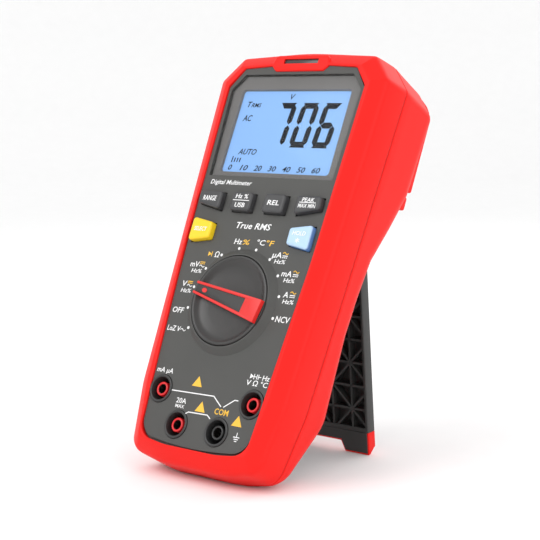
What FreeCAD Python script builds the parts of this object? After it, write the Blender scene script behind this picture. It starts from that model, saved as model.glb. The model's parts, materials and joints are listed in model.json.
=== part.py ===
import FreeCAD
import Part
import Sketcher
import math
import os

# Handheld digital multimeter on its tilt stand, as a parametric FreeCAD document.
#
# The meter is drawn upright in its own frame: x to the right, y from the face to the back, z from the
# bottom end to the top end, with the grey face on y = 0.  Every piece is then leaned back together, so
# that the body's rounded bottom edge and the feet of the open stand both touch the table at z = 0.

SIZES = {
    # body outline, seen from the front
    "body_length": 182.4,
    "shoulder_width": 90.0,
    "shoulder_drop": 13.4,
    "top_flat": 71.0,
    "top_arch": 2.1,
    "foot_width": 78.0,
    "foot_height": 32.0,
    "toe_width": 71.2,
    "toe_height": 14.0,
    "bottom_flat": 58.0,
    "bottom_sag": 2.6,
    # body depth, seen from the side
    "seam_depth": 16.0,
    "crease_depth": 3.5,
    "rim_proud": 0.8,
    "rim_inset": 6.5,
    "seam_flare": 1.2,
    "back_inset": 2.0,
    "hump_depth": 43.6,
    "crown_depth": 44.4,
    "hump_rise": 9.0,
    "neck_depth": 32.5,
    "neck_fall": 12.0,
    "waist_depth": 29.4,
    "waist_height": 72.0,
    "bulge_depth": 34.5,
    "bulge_height": 31.0,
    "heel_depth": 22.0,
    "heel_radius": 14.0,
    "crown_radius": 9.0,
    # walls and clearances
    "boot_wall": 3.0,
    "case_wall": 2.2,
    "face_wall": 2.4,
    "part_gap": 0.1,
    "running_gap": 0.25,
    "open_gap": 0.5,
    # grey face inside the rubber rim
    "face_bottom": 7.5,
    "face_bottom_flat": 43.0,
    "face_bottom_sag": 1.4,
    "face_low_width": 58.0,
    "face_low_height": 17.0,
    "face_mid_width": 68.0,
    "face_mid_height": 90.0,
    "face_top_width": 72.4,
    "face_corner_drop": 17.7,
    "face_top_flat": 59.8,
    "face_top_drop": 9.0,
    "bump_width": 25.4,
    "bump_drop": 2.4,
    "bump_slope": 2.7,
    "bump_top_drop": 3.0,
    "slot_drop": 6.0,
    "slot_length": 18.4,
    "slot_width": 2.2,
    # display
    "lens_height": 46.8,
    "lens_top_drop": 11.8,
    "lens_bottom_width": 66.0,
    "lens_top_width": 69.4,
    "lens_top_flat": 57.8,
    "lens_chamfer": 7.0,
    "lens_thick": 1.5,
    "view_rise": 2.2,
    "view_height": 38.4,
    "view_width": 59.8,
    "glass_thick": 2.2,
    "backlight_thick": 2.8,
    "bezel_wall": 1.6,
    # keys
    "key_drop": 16.1,
    "key_tall": 8.1,
    "key_inner_near": 3.2,
    "key_inner_far": 14.3,
    "key_outer_near": 20.0,
    "key_outer_far": 32.5,
    "key_slant": 2.6,
    "mode_key_near": 20.8,
    "mode_key_far": 32.0,
    "mode_key_drop": 9.3,
    "mode_key_near_tall": 7.0,
    "mode_key_far_tall": 10.6,
    "key_proud": 2.8,
    "key_travel": 0.9,
    "key_flange": 1.2,
    "stem_radius": 1.8,
    "flange_reach": 0.8,
    "mat_thick": 1.2,
    "mat_margin": 1.5,
    "switch_tall": 3.2,
    # rotary selector
    "dial_height": 69.1,
    "dial_radius": 19.25,
    "pedestal_radius": 22.8,
    "pedestal_proud": 2.5,
    "knob_proud": 3.0,
    "knob_base": 0.3,
    "scoop_radius": 17.4,
    "scoop_depth": 1.7,
    "hub_radius": 6.0,
    "rotor_radius": 20.5,
    "rotor_thick": 3.0,
    "rotor_depth": 5.6,
    "detent_radius": 14.0,
    "detent_thick": 1.4,
    "detent_band": 2.6,
    "ball_radius": 1.2,
    "bar_proud": 5.4,
    "bar_tip_width": 4.4,
    "bar_end_width": 9.2,
    "bar_reach": 17.8,
    "pointer_recess": 0.9,
    "bar_rim": 0.9,
    # input jacks
    "jack_spread_upper": 24.5,
    "jack_height_upper": 29.3,
    "jack_spread_lower": 10.9,
    "jack_height_lower": 16.0,
    "jack_bore": 2.0,
    "jack_well": 4.75,
    "jack_collar": 6.0,
    "jack_post": 3.0,
    "contact_wall": 0.6,
    "jack_proud": 0.5,
    "jack_depth": 18.6,
    "jack_floor": 1.6,
    # board and what stands on it
    "board_depth": 12.5,
    "board_thick": 1.6,
    "board_gap": 0.6,
    "fuse_small_radius": 3.15,
    "fuse_small_length": 32.0,
    "fuse_small_height": 56.0,
    "fuse_large_radius": 5.15,
    "fuse_large_length": 38.0,
    "fuse_large_height": 43.0,
    "screw_radius": 1.4,
    "screw_head": 2.8,
    "screw_head_tall": 1.8,
    "screw_slot_long": 3.6,
    "screw_slot_wide": 0.8,
    "screw_slot_deep": 0.9,
    "screw_slack": 0.3,
    "screw_bite": 7.5,
    "case_screw_length": 16.0,
    "board_screw_length": 8.0,
    "cover_screw_length": 8.0,
    "screw_recess": 4.0,
    "boss_wall": 1.6,
    "fuse_standoff": 0.6,
    "fuse_cap_length": 6.0,
    "clip_width": 4.0,
    "clip_wall": 0.7,
    "switch_side": 6.0,
    "buzzer_radius": 6.5,
    "buzzer_tall": 5.5,
    # battery bay
    "battery_width": 26.2,
    "battery_length": 48.5,
    "battery_thick": 17.3,
    "battery_rise": 8.4,
    "bay_wall": 1.8,
    "bay_gap": 0.8,
    "snap_room": 3.4,
    "door_thick": 2.4,
    "door_margin": 2.6,
    "door_screw_drop": 6.4,
    # probe holders
    "probe_spread": 31.4,
    "channel_width": 7.0,
    "channel_rise": 10.0,
    "ridge_width": 3.0,
    "ridge_proud": 2.8,
    "ridge_top_drop": 9.4,
    "tab_length": 6.0,
    "tab_gap": 2.6,
    # tilt stand
    "stand_width": 57.0,
    "stand_length": 102.0,
    "stand_front": 1.6,
    "stand_back": 3.6,
    "stand_skin": 1.5,
    "stand_angle": 29.8,
    "deck_depth": 28.6,
    "hinge_depth": 31.0,
    "hinge_drop": 64.4,
    "hinge_pin": 1.5,
    "pin_gap": 0.05,
    "pin_reach": 3.0,
    "ear_wall": 4.5,
    "foot_tall": 10.0,
    "foot_span": 13.5,
    "foot_notch": 4.6,
    "window_above": 2.4,
    "window_below": 1.0,
    "rib_wall": 1.3,
    "rib_pitch": 10.2,
}

doc = FreeCAD.newDocument("multimeter")
sheet = doc.addObject("Spreadsheet::Sheet", "Sizes")
for row, (alias, size) in enumerate(SIZES.items(), start=1):
    sheet.set(f"A{row}", alias)
    sheet.set(f"B{row}", str(size))
    sheet.setAlias(f"B{row}", alias)
doc.recompute()


class Dim(float):
    """A size together with the sheet formula that gives it."""

    def __new__(cls, value, formula):
        made = float.__new__(cls, value)
        made.formula = formula
        return made

    def __add__(self, other):
        return Dim(float(self) + float(other), f"({formula(self)} + {formula(other)})")

    def __sub__(self, other):
        return Dim(float(self) - float(other), f"({formula(self)} - {formula(other)})")

    def __mul__(self, other):
        return Dim(float(self) * float(other), f"({formula(self)} * {formula(other)})")

    def __truediv__(self, other):
        return Dim(float(self) / float(other), f"({formula(self)} / {formula(other)})")

    def __neg__(self):
        return Dim(-float(self), f"(0 - {formula(self)})")

    def __radd__(self, other):
        return Dim(float(other), formula(other)) + self

    def __rsub__(self, other):
        return Dim(float(other), formula(other)) - self

    def __rmul__(self, other):
        return self * other


def formula(value):
    """The text that stands for a value in a bound expression."""
    return getattr(value, "formula", f"{float(value):.6g}")


class Sheet:
    """Gives each driving size of the sheet by its name."""

    def __getattr__(self, alias):
        return Dim(float(sheet.get(alias)), f"Sizes.{alias}")


size = Sheet()


# ---------------------------------------------------------------- drawing helpers

PLANES = {
    # plane role, and whether a sketch's normal runs against the axis that the piece is built along
    "y": ("XZ_Plane", True),
    "x": ("YZ_Plane", False),
}


def bind(thing, prop, value):
    """Ties a property to its sheet formula, or sets it when the value is a plain number."""
    if isinstance(value, Dim):
        thing.setExpression(prop, value.formula)
    elif "." in prop:
        thing.setExpression(prop, formula(value))
    else:
        setattr(thing, prop, value)


def new_body(label):
    body = doc.addObject("PartDesign::Body", label)
    body.Label = label
    return body


def line(*corners):
    """A closed path of straight segments."""
    return [(corner, None) for corner in corners]


def draw(body, name, axis, depth, path):
    """A sketch square to an axis at a depth along it.  The path lists (corner, via) pairs: the segment
    that leaves each corner is straight, or an arc through via."""
    role, against = PLANES[axis]
    plane = next(f for f in body.Origin.OriginFeatures if f.Role == role)
    sketch = body.newObject("Sketcher::SketchObject", name)
    sketch.AttachmentSupport = (plane, [""])
    sketch.MapMode = "FlatFace"
    bind(sketch, "AttachmentOffset.Base.z", -depth if against else depth)
    ends = [corner for corner, _ in path[1:]] + [path[0][0]]
    count = len(path)
    for (start, via), end in zip(path, ends):
        a = FreeCAD.Vector(float(start[0]), float(start[1]), 0)
        b = FreeCAD.Vector(float(end[0]), float(end[1]), 0)
        if via is None:
            sketch.addGeometry(Part.LineSegment(a, b), False)
        else:
            middle = FreeCAD.Vector(float(via[0]), float(via[1]), 0)
            sketch.addGeometry(Part.Arc(a, middle, b), False)
    starts = []
    for index, ((start, via), end) in enumerate(zip(path, ends)):
        # an arc runs anticlockwise in a sketch, so its ends may be swapped
        first = sketch.getPoint(index, 1)
        swapped = (first - FreeCAD.Vector(float(start[0]), float(start[1]), 0)).Length > 1e-4
        starts.append(2 if swapped else 1)
    for index in range(count):
        after = (index + 1) % count
        fix("Coincident", sketch, index, 3 - starts[index], after, starts[after])
    for index, (start, via) in enumerate(path):
        place_point(sketch, index, starts[index], start)
        if via is not None:
            spot = sketch.addGeometry(Part.Point(FreeCAD.Vector(float(via[0]), float(via[1]), 0)), True)
            place_point(sketch, spot, 1, via)
            fix("PointOnObject", sketch, spot, 1, index)
    return sketch


def fix(kind, sketch, *where):
    """Adds one constraint and gives its number."""
    return sketch.addConstraint(Sketcher.Constraint(kind, *where))


def place_point(sketch, geometry, end, corner):
    """Holds one end of a segment at its sheet position."""
    for kind, value in zip(("DistanceX", "DistanceY"), corner):
        number = fix(kind, sketch, -1, 1, geometry, end, float(value))
        if isinstance(value, Dim):
            sketch.setExpression(f"Constraints[{number}]", value.formula)


def pad(body, name, axis, start, end, path):
    """Adds the path's solid between two depths along an axis."""
    sketch = draw(body, name + "_sketch", axis, start, path)
    feature = body.newObject("PartDesign::Pad", name)
    feature.Profile = sketch
    feature.Type = 0
    feature.Reversed = PLANES[axis][1]
    bind(feature, "Length", end - start)
    return feature


def loft(body, name, axis, levels):
    """A ruled solid through (depth, path) levels whose paths have the same segments."""
    sketches = []
    for number, (depth, path) in enumerate(levels):
        sketches.append(draw(body, f"{name}_{number}", axis, depth, path))
    feature = body.newObject("PartDesign::AdditiveLoft", name)
    feature.Profile = sketches[0]
    feature.Sections = sketches[1:]
    feature.Ruled = True
    return feature


def box(x, y, z):
    """A Part box between (low, high) pairs."""
    made = doc.addObject("Part::Box", "block")
    for prop, (low, high) in zip(("Length", "Width", "Height"), (x, y, z)):
        bind(made, prop, high - low)
    for letter, (low, _) in zip("xyz", (x, y, z)):
        bind(made, f"Placement.Base.{letter}", low)
    return made


TURNS = {
    "x": FreeCAD.Rotation(FreeCAD.Vector(0, 1, 0), 90),
    "y": FreeCAD.Rotation(FreeCAD.Vector(1, 0, 0), -90),
}


def rod(axis, centre, low, high, radius, tip=None):
    """A Part cylinder, or a cone when tip gives its far radius.  Centre holds the other two places."""
    made = doc.addObject("Part::Cylinder" if tip is None else "Part::Cone", "rod")
    made.Placement = FreeCAD.Placement(FreeCAD.Vector(), TURNS[axis])
    if tip is None:
        bind(made, "Radius", radius)
    else:
        bind(made, "Radius1", radius)
        bind(made, "Radius2", tip)
    bind(made, "Height", high - low)
    others = [letter for letter in "xyz" if letter != axis]
    bind(made, f"Placement.Base.{axis}", low)
    for letter, value in zip(others, centre):
        bind(made, f"Placement.Base.{letter}", value)
    return made


def ball(x, y, z, radius):
    made = doc.addObject("Part::Sphere", "ball")
    bind(made, "Radius", radius)
    for letter, value in zip("xyz", (x, y, z)):
        bind(made, f"Placement.Base.{letter}", value)
    return made


def fuse(*shapes):
    made = doc.addObject("Part::MultiFuse", "joined")
    made.Shapes = list(shapes)
    return made


def cut(base, *tools):
    made = doc.addObject("Part::Cut", "cut")
    made.Base = base
    made.Tool = tools[0] if len(tools) == 1 else fuse(*tools)
    return made


def group(*shapes):
    """Separate solids that share one node."""
    made = doc.addObject("Part::Compound", "group")
    made.Links = list(shapes)
    return made


pieces = {}


def name_piece(label, thing):
    """Gives a finished piece its name.  A bare primitive is wrapped, so that its bound place is kept."""
    if thing.TypeId in ("Part::Box", "Part::Cylinder"):
        thing = group(thing)
    thing.Label = label
    pieces[label] = thing


# ---------------------------------------------------------------- body shells

# heights that follow the top end of the body or the stand's hinge
shoulder_height = size.body_length - size.shoulder_drop
face_top_height = size.body_length - size.face_corner_drop
face_top = size.body_length - size.face_top_drop
bump_top = size.body_length - size.bump_top_drop
slot_height = size.body_length - size.slot_drop
lens_top = size.body_length - size.lens_top_drop
lens_bottom = lens_top - size.lens_height
view_bottom = lens_bottom + size.view_rise
key_height = lens_bottom - size.key_drop
mode_key_height = key_height - size.mode_key_drop
ridge_top = size.body_length - size.ridge_top_drop
hinge_height = size.body_length - size.hinge_drop
hump_height = hinge_height + size.hump_rise
neck_height = hinge_height - size.neck_fall
battery_bottom = hump_height + size.battery_rise
channel_bottom = hump_height + size.channel_rise
deck_top = hinge_height + size.stand_back + size.window_above
deck_bottom = hinge_height - size.stand_length - size.window_below


def symmetric(right, bottom_via=None):
    """Closes a right-hand run of (corner, via) pairs, bottom to top, with its mirror image."""
    left = []
    for index in reversed(range(len(right))):
        x, z = right[index][0]
        via = right[index - 1][1] if index else bottom_via
        if index and via is not None:
            via = (-via[0], via[1])
        left.append(((-x, z), via))
    return right + left


def body_outline(inset):
    """The body seen from the front, moved inwards by inset."""
    toe_via = (
        (size.bottom_flat + size.toe_width) / 4 + 1.6 - 0.8 * inset,
        (size.bottom_sag + size.toe_height) / 2 - 2.2 + 0.6 * inset,
    )
    right = [
        ((size.bottom_flat / 2 - 0.5 * inset, size.bottom_sag + inset), toe_via),
        ((size.toe_width / 2 - inset, size.toe_height + 0.4 * inset), None),
        ((size.foot_width / 2 - inset, size.foot_height), None),
        ((size.shoulder_width / 2 - inset, shoulder_height - 0.4 * inset), None),
        (
            (size.top_flat / 2 - 0.4 * inset, size.body_length - size.top_arch - inset),
            (0.0, size.body_length - inset),
        ),
    ]
    return symmetric(right, (0.0, 0.0 + inset))


def face_outline(inset):
    """The opening in the red rim, which frames the grey face."""
    corner_via = (
        (size.face_bottom_flat + size.face_low_width) / 4 + 1.3 - 0.7 * inset,
        (size.face_bottom + size.face_low_height) / 2 - 0.9 + 0.7 * inset,
    )
    right = [
        (
            (size.face_bottom_flat / 2 - 0.4 * inset, size.face_bottom + size.face_bottom_sag + inset),
            corner_via,
        ),
        (
            (size.face_low_width / 2 - inset, size.face_low_height + 0.4 * inset),
            (size.face_mid_width / 2 - inset, size.face_mid_height),
        ),
        ((size.face_top_width / 2 - inset, face_top_height - 0.4 * inset), None),
        ((size.face_top_flat / 2 - 0.6 * inset, face_top - inset), None),
        ((size.bump_width / 2 + size.bump_slope + inset, face_top + 1.0 - inset), None),
        ((size.bump_width / 2 + inset, face_top + 1.0 - size.bump_drop - inset), None),
    ]
    return symmetric(right, (0.0, size.face_bottom + inset))


def lens_outline(inset):
    right = [
        ((size.lens_bottom_width / 2 - inset, lens_bottom + inset), None),
        ((size.lens_top_width / 2 - inset, lens_top - size.lens_chamfer - 0.4 * inset), None),
        ((size.lens_top_flat / 2 - 0.4 * inset, lens_top - inset), None),
    ]
    return symmetric(right)


BACK = size.crown_depth + 8.0


def body_block(label, inset, front, crease):
    """The body's outside moved inwards by inset, before its back is shaped.  A bevel runs from the
    front level back to the crease."""
    body = new_body(label)
    levels = [
        (front, body_outline(inset + size.rim_inset * (0.5 if inset else 1.0))),
        (crease, body_outline(0.0 + inset)),
    ]
    levels.append((size.seam_depth, body_outline(inset - size.seam_flare)))
    levels.append((BACK, body_outline(inset + size.back_inset)))
    loft(body, label + "_loft", "y", levels)
    return body


def side_block(label, inset):
    """The body seen from the side, moved inwards by inset, with its corners rounded."""
    body = new_body(label)
    low = inset - size.seam_flare
    high = size.body_length + size.seam_flare - inset
    corners = line(
        (-6.0, low),
        (size.heel_depth - inset, low),
        (size.bulge_depth - inset, size.bulge_height),
        (size.waist_depth - inset, size.waist_height),
        (size.neck_depth - inset, neck_height),
        (size.hump_depth - inset, hump_height + 0.5 * inset),
        (size.crown_depth - inset, high),
        (-6.0, high),
    )
    pad(body, label + "_pad", "x", -size.shoulder_width, 0.0 + size.shoulder_width, corners)
    doc.recompute()
    rounds = [
        (size.heel_depth - inset, low, size.heel_radius - inset),
        (size.bulge_depth - inset, size.bulge_height, 20.0 + inset),
        (size.waist_depth - inset, size.waist_height, 110.0 + inset),
        (size.neck_depth - inset, neck_height, 28.0 + inset),
        (size.hump_depth - inset, hump_height + 0.5 * inset, 12.0 - inset),
        (size.crown_depth - inset, high, size.crown_radius - inset),
    ]
    tip = body.Tip
    for number, (y, z, radius) in enumerate(rounds):
        name = edge_at(tip.Shape, y, z)
        feature = body.newObject("PartDesign::Fillet", f"{label}_round_{number}")
        feature.Base = (tip, [name])
        bind(feature, "Radius", radius)
        doc.recompute()
        tip = feature
    return body


def edge_at(shape, y, z):
    """The name of the straight edge that runs along x at a place in the side view."""
    best = None
    for number, edge in enumerate(shape.Edges, start=1):
        ends = [v.Point for v in edge.Vertexes]
        if len(ends) < 2 or abs(ends[0].x - ends[1].x) < 1:
            continue
        off = max(math.hypot(p.y - float(y), p.z - float(z)) for p in ends)
        if best is None or off < best[0]:
            best = (off, f"Edge{number}")
    return best[1]


def common(*shapes):
    made = doc.addObject("Part::MultiCommon", "common")
    made.Shapes = list(shapes)
    return made


def slab(low, high):
    """Everything between two depths."""
    return box((-60.0, 60.0), (low, high), (-10.0, size.body_length + 10.0))


def plate(label, outline, low, high):
    """A flat plate of an outline between two depths."""
    body = new_body(label)
    pad(body, label + "_pad", "y", low, high, outline)
    return body


outside = common(
    body_block("outside_block", 0.0, -size.rim_proud, 0.0 + size.crease_depth),
    side_block("outside_back", 0.0),
)
inner_front = size.face_wall - 1.0
inner_crease = size.crease_depth + 1.6
middle = common(
    body_block("middle_block", size.boot_wall, inner_front, inner_crease),
    side_block("middle_back", size.boot_wall),
)
wall = size.boot_wall + size.case_wall
cavity = common(
    body_block("cavity_block", wall, inner_front, inner_crease),
    side_block("cavity_back", wall),
    slab(size.face_wall, BACK),
)
FRONT_HALF = slab(-20.0, size.seam_depth)
BACK_HALF = slab(size.seam_depth, BACK)

board_front = size.board_depth
board_back = size.board_depth + size.board_thick


def case_screw_spots():
    low = size.foot_width / 2 - wall - size.screw_radius - size.boss_wall + 0.6
    spots = [(low, size.fuse_large_height + 5.0), (low + 1.4, mode_key_height - 14.0)]
    return [(x * side, z) for x, z in spots for side in (-1, 1)]


def board_screw_spots():
    low = (size.fuse_large_length / 2 + 10.6, size.fuse_small_height + 7.0)
    high = (26.0, lens_top + 3.4)
    return [(x * side, z) for x, z in (low, high) for side in (-1, 1)]


JACKS = {
    "milliamp": (-size.jack_spread_upper, size.jack_height_upper),
    "volt": (size.jack_spread_upper, size.jack_height_upper),
    "amp": (-size.jack_spread_lower, size.jack_height_lower),
    "common": (size.jack_spread_lower, size.jack_height_lower),
}


def trapezium(near, far, bottom, top, bottom_slope, top_slope, side, grow):
    """A key seen from the front: near and far from the centre line, on one side of it."""
    corners = [
        (near - grow, bottom - grow),
        (far + grow, bottom + bottom_slope - grow),
        (far + grow, top + top_slope + grow),
        (near - grow, top + grow),
    ]
    if side < 0:
        corners = [(-x, z) for x, z in reversed(corners)]
    return line(*corners)


def key_shape(name, grow):
    """Every key's outline: the outer keys of the row slant at the bottom, the two mode keys widen."""
    low, high = key_height, key_height + size.key_tall
    side = -1 if name in ("range_key", "mode_key", "select_key") else 1
    if name in ("mode_key", "relative_key"):
        return trapezium(size.key_inner_near, size.key_inner_far, low, high, 0.0, 0.0, side, grow)
    if name in ("range_key", "peak_key"):
        near, far = size.key_outer_near, size.key_outer_far
        return trapezium(near, far, low, high, size.key_slant, 0.0, side, grow)
    near, far = size.mode_key_near, size.mode_key_far
    low = mode_key_height - size.mode_key_near_tall / 2
    high = mode_key_height + size.mode_key_near_tall / 2
    flare = (size.mode_key_far_tall - size.mode_key_near_tall) / 2
    return trapezium(near, far, low, high, -flare, flare, side, grow)


def key_centre(name):
    corners = [corner for corner, _ in key_shape(name, 0.0)]
    x = (corners[0][0] + corners[1][0] + corners[2][0] + corners[3][0]) / 4
    z = (corners[0][1] + corners[1][1] + corners[2][1] + corners[3][1]) / 4
    return x, z


KEYS = ("range_key", "mode_key", "relative_key", "peak_key", "select_key", "hold_key")

# the stand's window through the rubber, and the pocket that its hinge turns in
stand_half = size.stand_width / 2 + size.open_gap
window = box((-stand_half, stand_half), (size.seam_depth, BACK), (deck_bottom, deck_top))
pocket_space = box((-stand_half, stand_half), (size.deck_depth, BACK), (deck_bottom, deck_top))
ear_front = size.hinge_depth - size.ear_wall
ear_back = size.hinge_depth + size.ear_wall
ear_bottom = hinge_height - size.ear_wall
ear_top = hinge_height + size.ear_wall


def ears(gap):
    blocks = []
    for side in (-1, 1):
        near = stand_half - 0.5 * gap
        far = stand_half + size.pin_reach + 1.4 + gap
        span = (near, far) if side > 0 else (-far, -near)
        blocks.append(box(span, (ear_front - gap, ear_back + gap), (ear_bottom - gap, ear_top + gap)))
    return fuse(*blocks)


def pin_bores(radius):
    low = -(stand_half + size.pin_reach)
    return rod("x", (size.hinge_depth, hinge_height), low, -low, radius)


# battery bay in the hump
battery_half = size.battery_length / 2
battery_top = battery_bottom + size.battery_width
door_face = size.hump_depth - 0.4
door_back = door_face - size.door_thick
battery_rear = door_back - 0.3
battery_front = battery_rear - size.battery_thick
door_half = battery_half + size.door_margin
door_bottom = battery_bottom - size.door_margin
door_top = battery_top + size.door_margin + size.door_screw_drop
bay = box(
    (-battery_half - size.bay_gap, battery_half + size.bay_gap),
    (battery_front - 0.4, BACK),
    (battery_bottom - size.bay_gap, battery_top + size.bay_gap),
)
bay_shell = box(
    (-battery_half - size.bay_gap - size.bay_wall, battery_half + size.bay_gap + size.bay_wall),
    (battery_front - 0.4 - size.bay_wall, door_back),
    (battery_bottom - size.bay_gap - size.bay_wall, battery_top + size.bay_gap + size.bay_wall),
)
door_space = box(
    (-door_half - size.part_gap, door_half + size.part_gap),
    (door_back, BACK),
    (door_bottom - size.part_gap, door_top + size.part_gap),
)
door_spots = [(door_half * 0.7 * side, battery_top + size.door_margin + 2.6) for side in (-1, 1)]
boss_length = size.cover_screw_length + 1.0
door_bosses = []
for spot in door_spots:
    boss_radius = size.screw_radius + size.boss_wall + 0.8
    door_bosses.append(rod("y", spot, door_back - boss_length, door_back, boss_radius))


def channels():
    """The grooves that hold a test probe on each side of the hump, and the ridges beside them."""
    made = []
    for side in (-1, 1):
        for across in (-1, 1):
            middle_x = side * size.probe_spread + across * (size.channel_width + size.ridge_width) / 2
            half = size.ridge_width / 2
            span = (middle_x - half, middle_x + half)
            top = size.crown_depth + size.ridge_proud
            made.append(box(span, (size.hump_depth - 3.0, top), (channel_bottom, ridge_top)))
            tab_top = channel_bottom - size.tab_gap
            deep = (size.hump_depth - 3.0, size.hump_depth + size.ridge_proud - 1.0)
            made.append(box(span, deep, (tab_top - size.tab_length, tab_top)))
    return made


def face_holes(low, high):
    """Everything that passes through the grey face."""
    made = [rod("y", (0.0, size.dial_height), low, high, size.hub_radius + size.running_gap)]
    for spot in JACKS.values():
        made.append(rod("y", spot, low, size.jack_depth + 1.0, size.jack_collar + size.part_gap))
    for name in KEYS:
        made.append(plate(name + "_hole", key_shape(name, 0.0 + size.running_gap), low, high))
    return made


view_half = size.view_width / 2
view_top = view_bottom + size.view_height
view_window = box((-view_half, view_half), (-1.0, size.face_wall + 0.1), (view_bottom, view_top))
pedestal = rod(
    "y", (0.0, size.dial_height), -size.pedestal_proud, 0.0, size.dial_radius + 0.7, size.pedestal_radius
)
dial_well = rod(
    "y",
    (0.0, size.dial_height),
    -size.pedestal_proud - 1.0,
    0.0 - size.knob_base + size.running_gap,
    size.dial_radius + size.running_gap,
)
front_bosses = []
screw_holes = []
for spot in case_screw_spots() + board_screw_spots():
    boss_radius = size.screw_radius + size.boss_wall
    front_bosses.append(rod("y", spot, size.face_wall - 0.2, board_front, boss_radius))
    hole_bottom = board_front - size.screw_bite
    screw_holes.append(rod("y", spot, hole_bottom, board_front + 0.1, size.screw_radius))
face = plate("face_plate", face_outline(0.0 + size.part_gap), 0.0, 0.0 + size.face_wall)
front_shell = cut(common(middle, FRONT_HALF), cavity)
lens_seat = plate("lens_seat", lens_outline(-size.part_gap), -1.0, 0.0 + size.lens_thick)
name_piece(
    "front_case",
    cut(
        fuse(front_shell, face, pedestal, *front_bosses),
        fuse(lens_seat, view_window, dial_well, *face_holes(-6.0, size.face_wall + 0.2), *screw_holes),
    ),
)

bump_front = -size.rim_proud
bump_low = face_top + 1.0 - size.bump_drop
bump = plate(
    "bump",
    symmetric(
        [
            ((size.bump_width / 2, bump_low), None),
            ((size.bump_width / 2 + size.bump_slope, face_top + 1.0), None),
            ((size.bump_width / 2 + 1.0, bump_top), None),
        ]
    ),
    bump_front,
    size.crease_depth,
)
slot_half = size.slot_length / 2
slot = box(
    (-slot_half, slot_half),
    (-2.0, 1.4),
    (slot_height - size.slot_width / 2, slot_height + size.slot_width / 2),
)
jack_spaces = [rod("y", spot, -2.0, 4.0, size.jack_collar + size.part_gap) for spot in JACKS.values()]
opening = plate("opening", face_outline(0.0), -2.0, size.face_wall + 0.2)
name_piece(
    "front_boot",
    cut(fuse(common(outside, FRONT_HALF), bump), fuse(middle, opening, slot, *jack_spaces)),
)
name_piece(
    "sensor_window",
    box(
        (-slot_half + 0.1, slot_half - 0.1),
        (-size.rim_proud + 0.5, 1.4),
        (slot_height - size.slot_width / 2 + 0.1, slot_height + size.slot_width / 2 - 0.1),
    ),
)

deck = common(window, outside, slab(size.seam_depth, size.deck_depth))
back_bosses = []
heads = []
for spot in case_screw_spots():
    boss_end = size.waist_depth - size.boot_wall
    boss_radius = size.screw_head + size.boss_wall
    back_bosses.append(rod("y", spot, board_back + size.part_gap, boss_end, boss_radius))
    head_bottom = boss_end - size.screw_recess
    heads.append(rod("y", spot, head_bottom, BACK, size.screw_head + size.screw_slack))
    heads.append(rod("y", spot, board_back, BACK, size.screw_radius + size.screw_slack))
door_hole_bottom = door_back - size.cover_screw_length
door_holes = [rod("y", spot, door_hole_bottom, BACK, size.screw_radius) for spot in door_spots]
back_shell = cut(common(middle, BACK_HALF), cavity)
pocket_half = stand_half + size.case_wall
pocket_box = box(
    (-pocket_half, pocket_half),
    (size.hinge_depth - size.stand_back - size.open_gap - size.case_wall, BACK),
    (neck_height - 4.0, deck_top + size.case_wall),
)
barrel_space = rod(
    "x", (size.hinge_depth, hinge_height), -stand_half, 0.0 + stand_half, size.stand_back + size.open_gap
)
pocket_lining = common(pocket_box, middle)
back_solid = fuse(back_shell, cut(deck, cavity), ears(0.0), common(bay_shell, middle), pocket_lining)
case_bosses = common(fuse(*back_bosses), middle)
name_piece(
    "rear_case",
    cut(
        fuse(cut(back_solid, pocket_space, barrel_space), ears(0.0), case_bosses, *door_bosses),
        fuse(bay, door_space, pin_bores(size.hinge_pin + size.pin_gap), *heads, *door_holes),
    ),
)
name_piece(
    "rear_boot",
    cut(
        fuse(common(outside, BACK_HALF), *channels()),
        fuse(middle, window, door_space, ears(size.part_gap), *heads),
    ),
)

# ---------------------------------------------------------------- display

glass_front = size.face_wall + 0.1
glass_back = glass_front + size.glass_thick
light_back = glass_back + size.backlight_thick
glass_bottom = view_bottom - 2.0
glass_top = view_top + 2.0
glass_half = view_half + 1.4
name_piece("display_lens", plate("lens", lens_outline(0.0 + size.part_gap), 0.0, 0.0 + size.lens_thick))
name_piece("lcd_glass", box((-glass_half, glass_half), (glass_front, glass_back), (glass_bottom, glass_top)))
name_piece(
    "lcd_backlight",
    box((-glass_half, glass_half), (glass_back, light_back), (glass_bottom, glass_top)),
)
frame_half = glass_half + size.bezel_wall
frame_out = box(
    (-frame_half, frame_half),
    (glass_front, light_back + size.bezel_wall),
    (glass_bottom - size.bezel_wall, glass_top + size.bezel_wall),
)
frame_in = box(
    (-glass_half, glass_half), (glass_front - 1.0, light_back), (glass_bottom, glass_top)
)
strip_space = box(
    (-glass_half + 2.0, glass_half - 2.0),
    (glass_back, board_front + 1.0),
    (glass_bottom - size.bezel_wall - 1.0, glass_bottom),
)
name_piece("lcd_holder", cut(frame_out, frame_in, strip_space))
name_piece(
    "contact_strip",
    box(
        (-glass_half + 3.0, glass_half - 3.0),
        (light_back - 1.0, board_front),
        (glass_bottom - size.bezel_wall + 0.1, glass_bottom - 0.1),
    ),
)

# ---------------------------------------------------------------- board and what stands on it


def jack_holes(low, high, grow):
    return [rod("y", spot, low, high, size.jack_collar + grow) for spot in JACKS.values()]


board_outline = body_outline(wall + size.board_gap)
board_holes = [
    rod("y", spot, board_front - 1.0, board_back + 1.0, size.screw_radius + 0.2)
    for spot in case_screw_spots() + board_screw_spots()
]
board_plate = common(
    plate("board_plate", board_outline, board_front, board_back),
    box((-60.0, 60.0), (board_front, board_back), (size.bottom_sag + wall, size.body_length)),
)
board_cut = fuse(*jack_holes(board_front - 1.0, board_back + 1.0, 0.3), *board_holes)
name_piece("main_board", cut(board_plate, board_cut))

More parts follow.
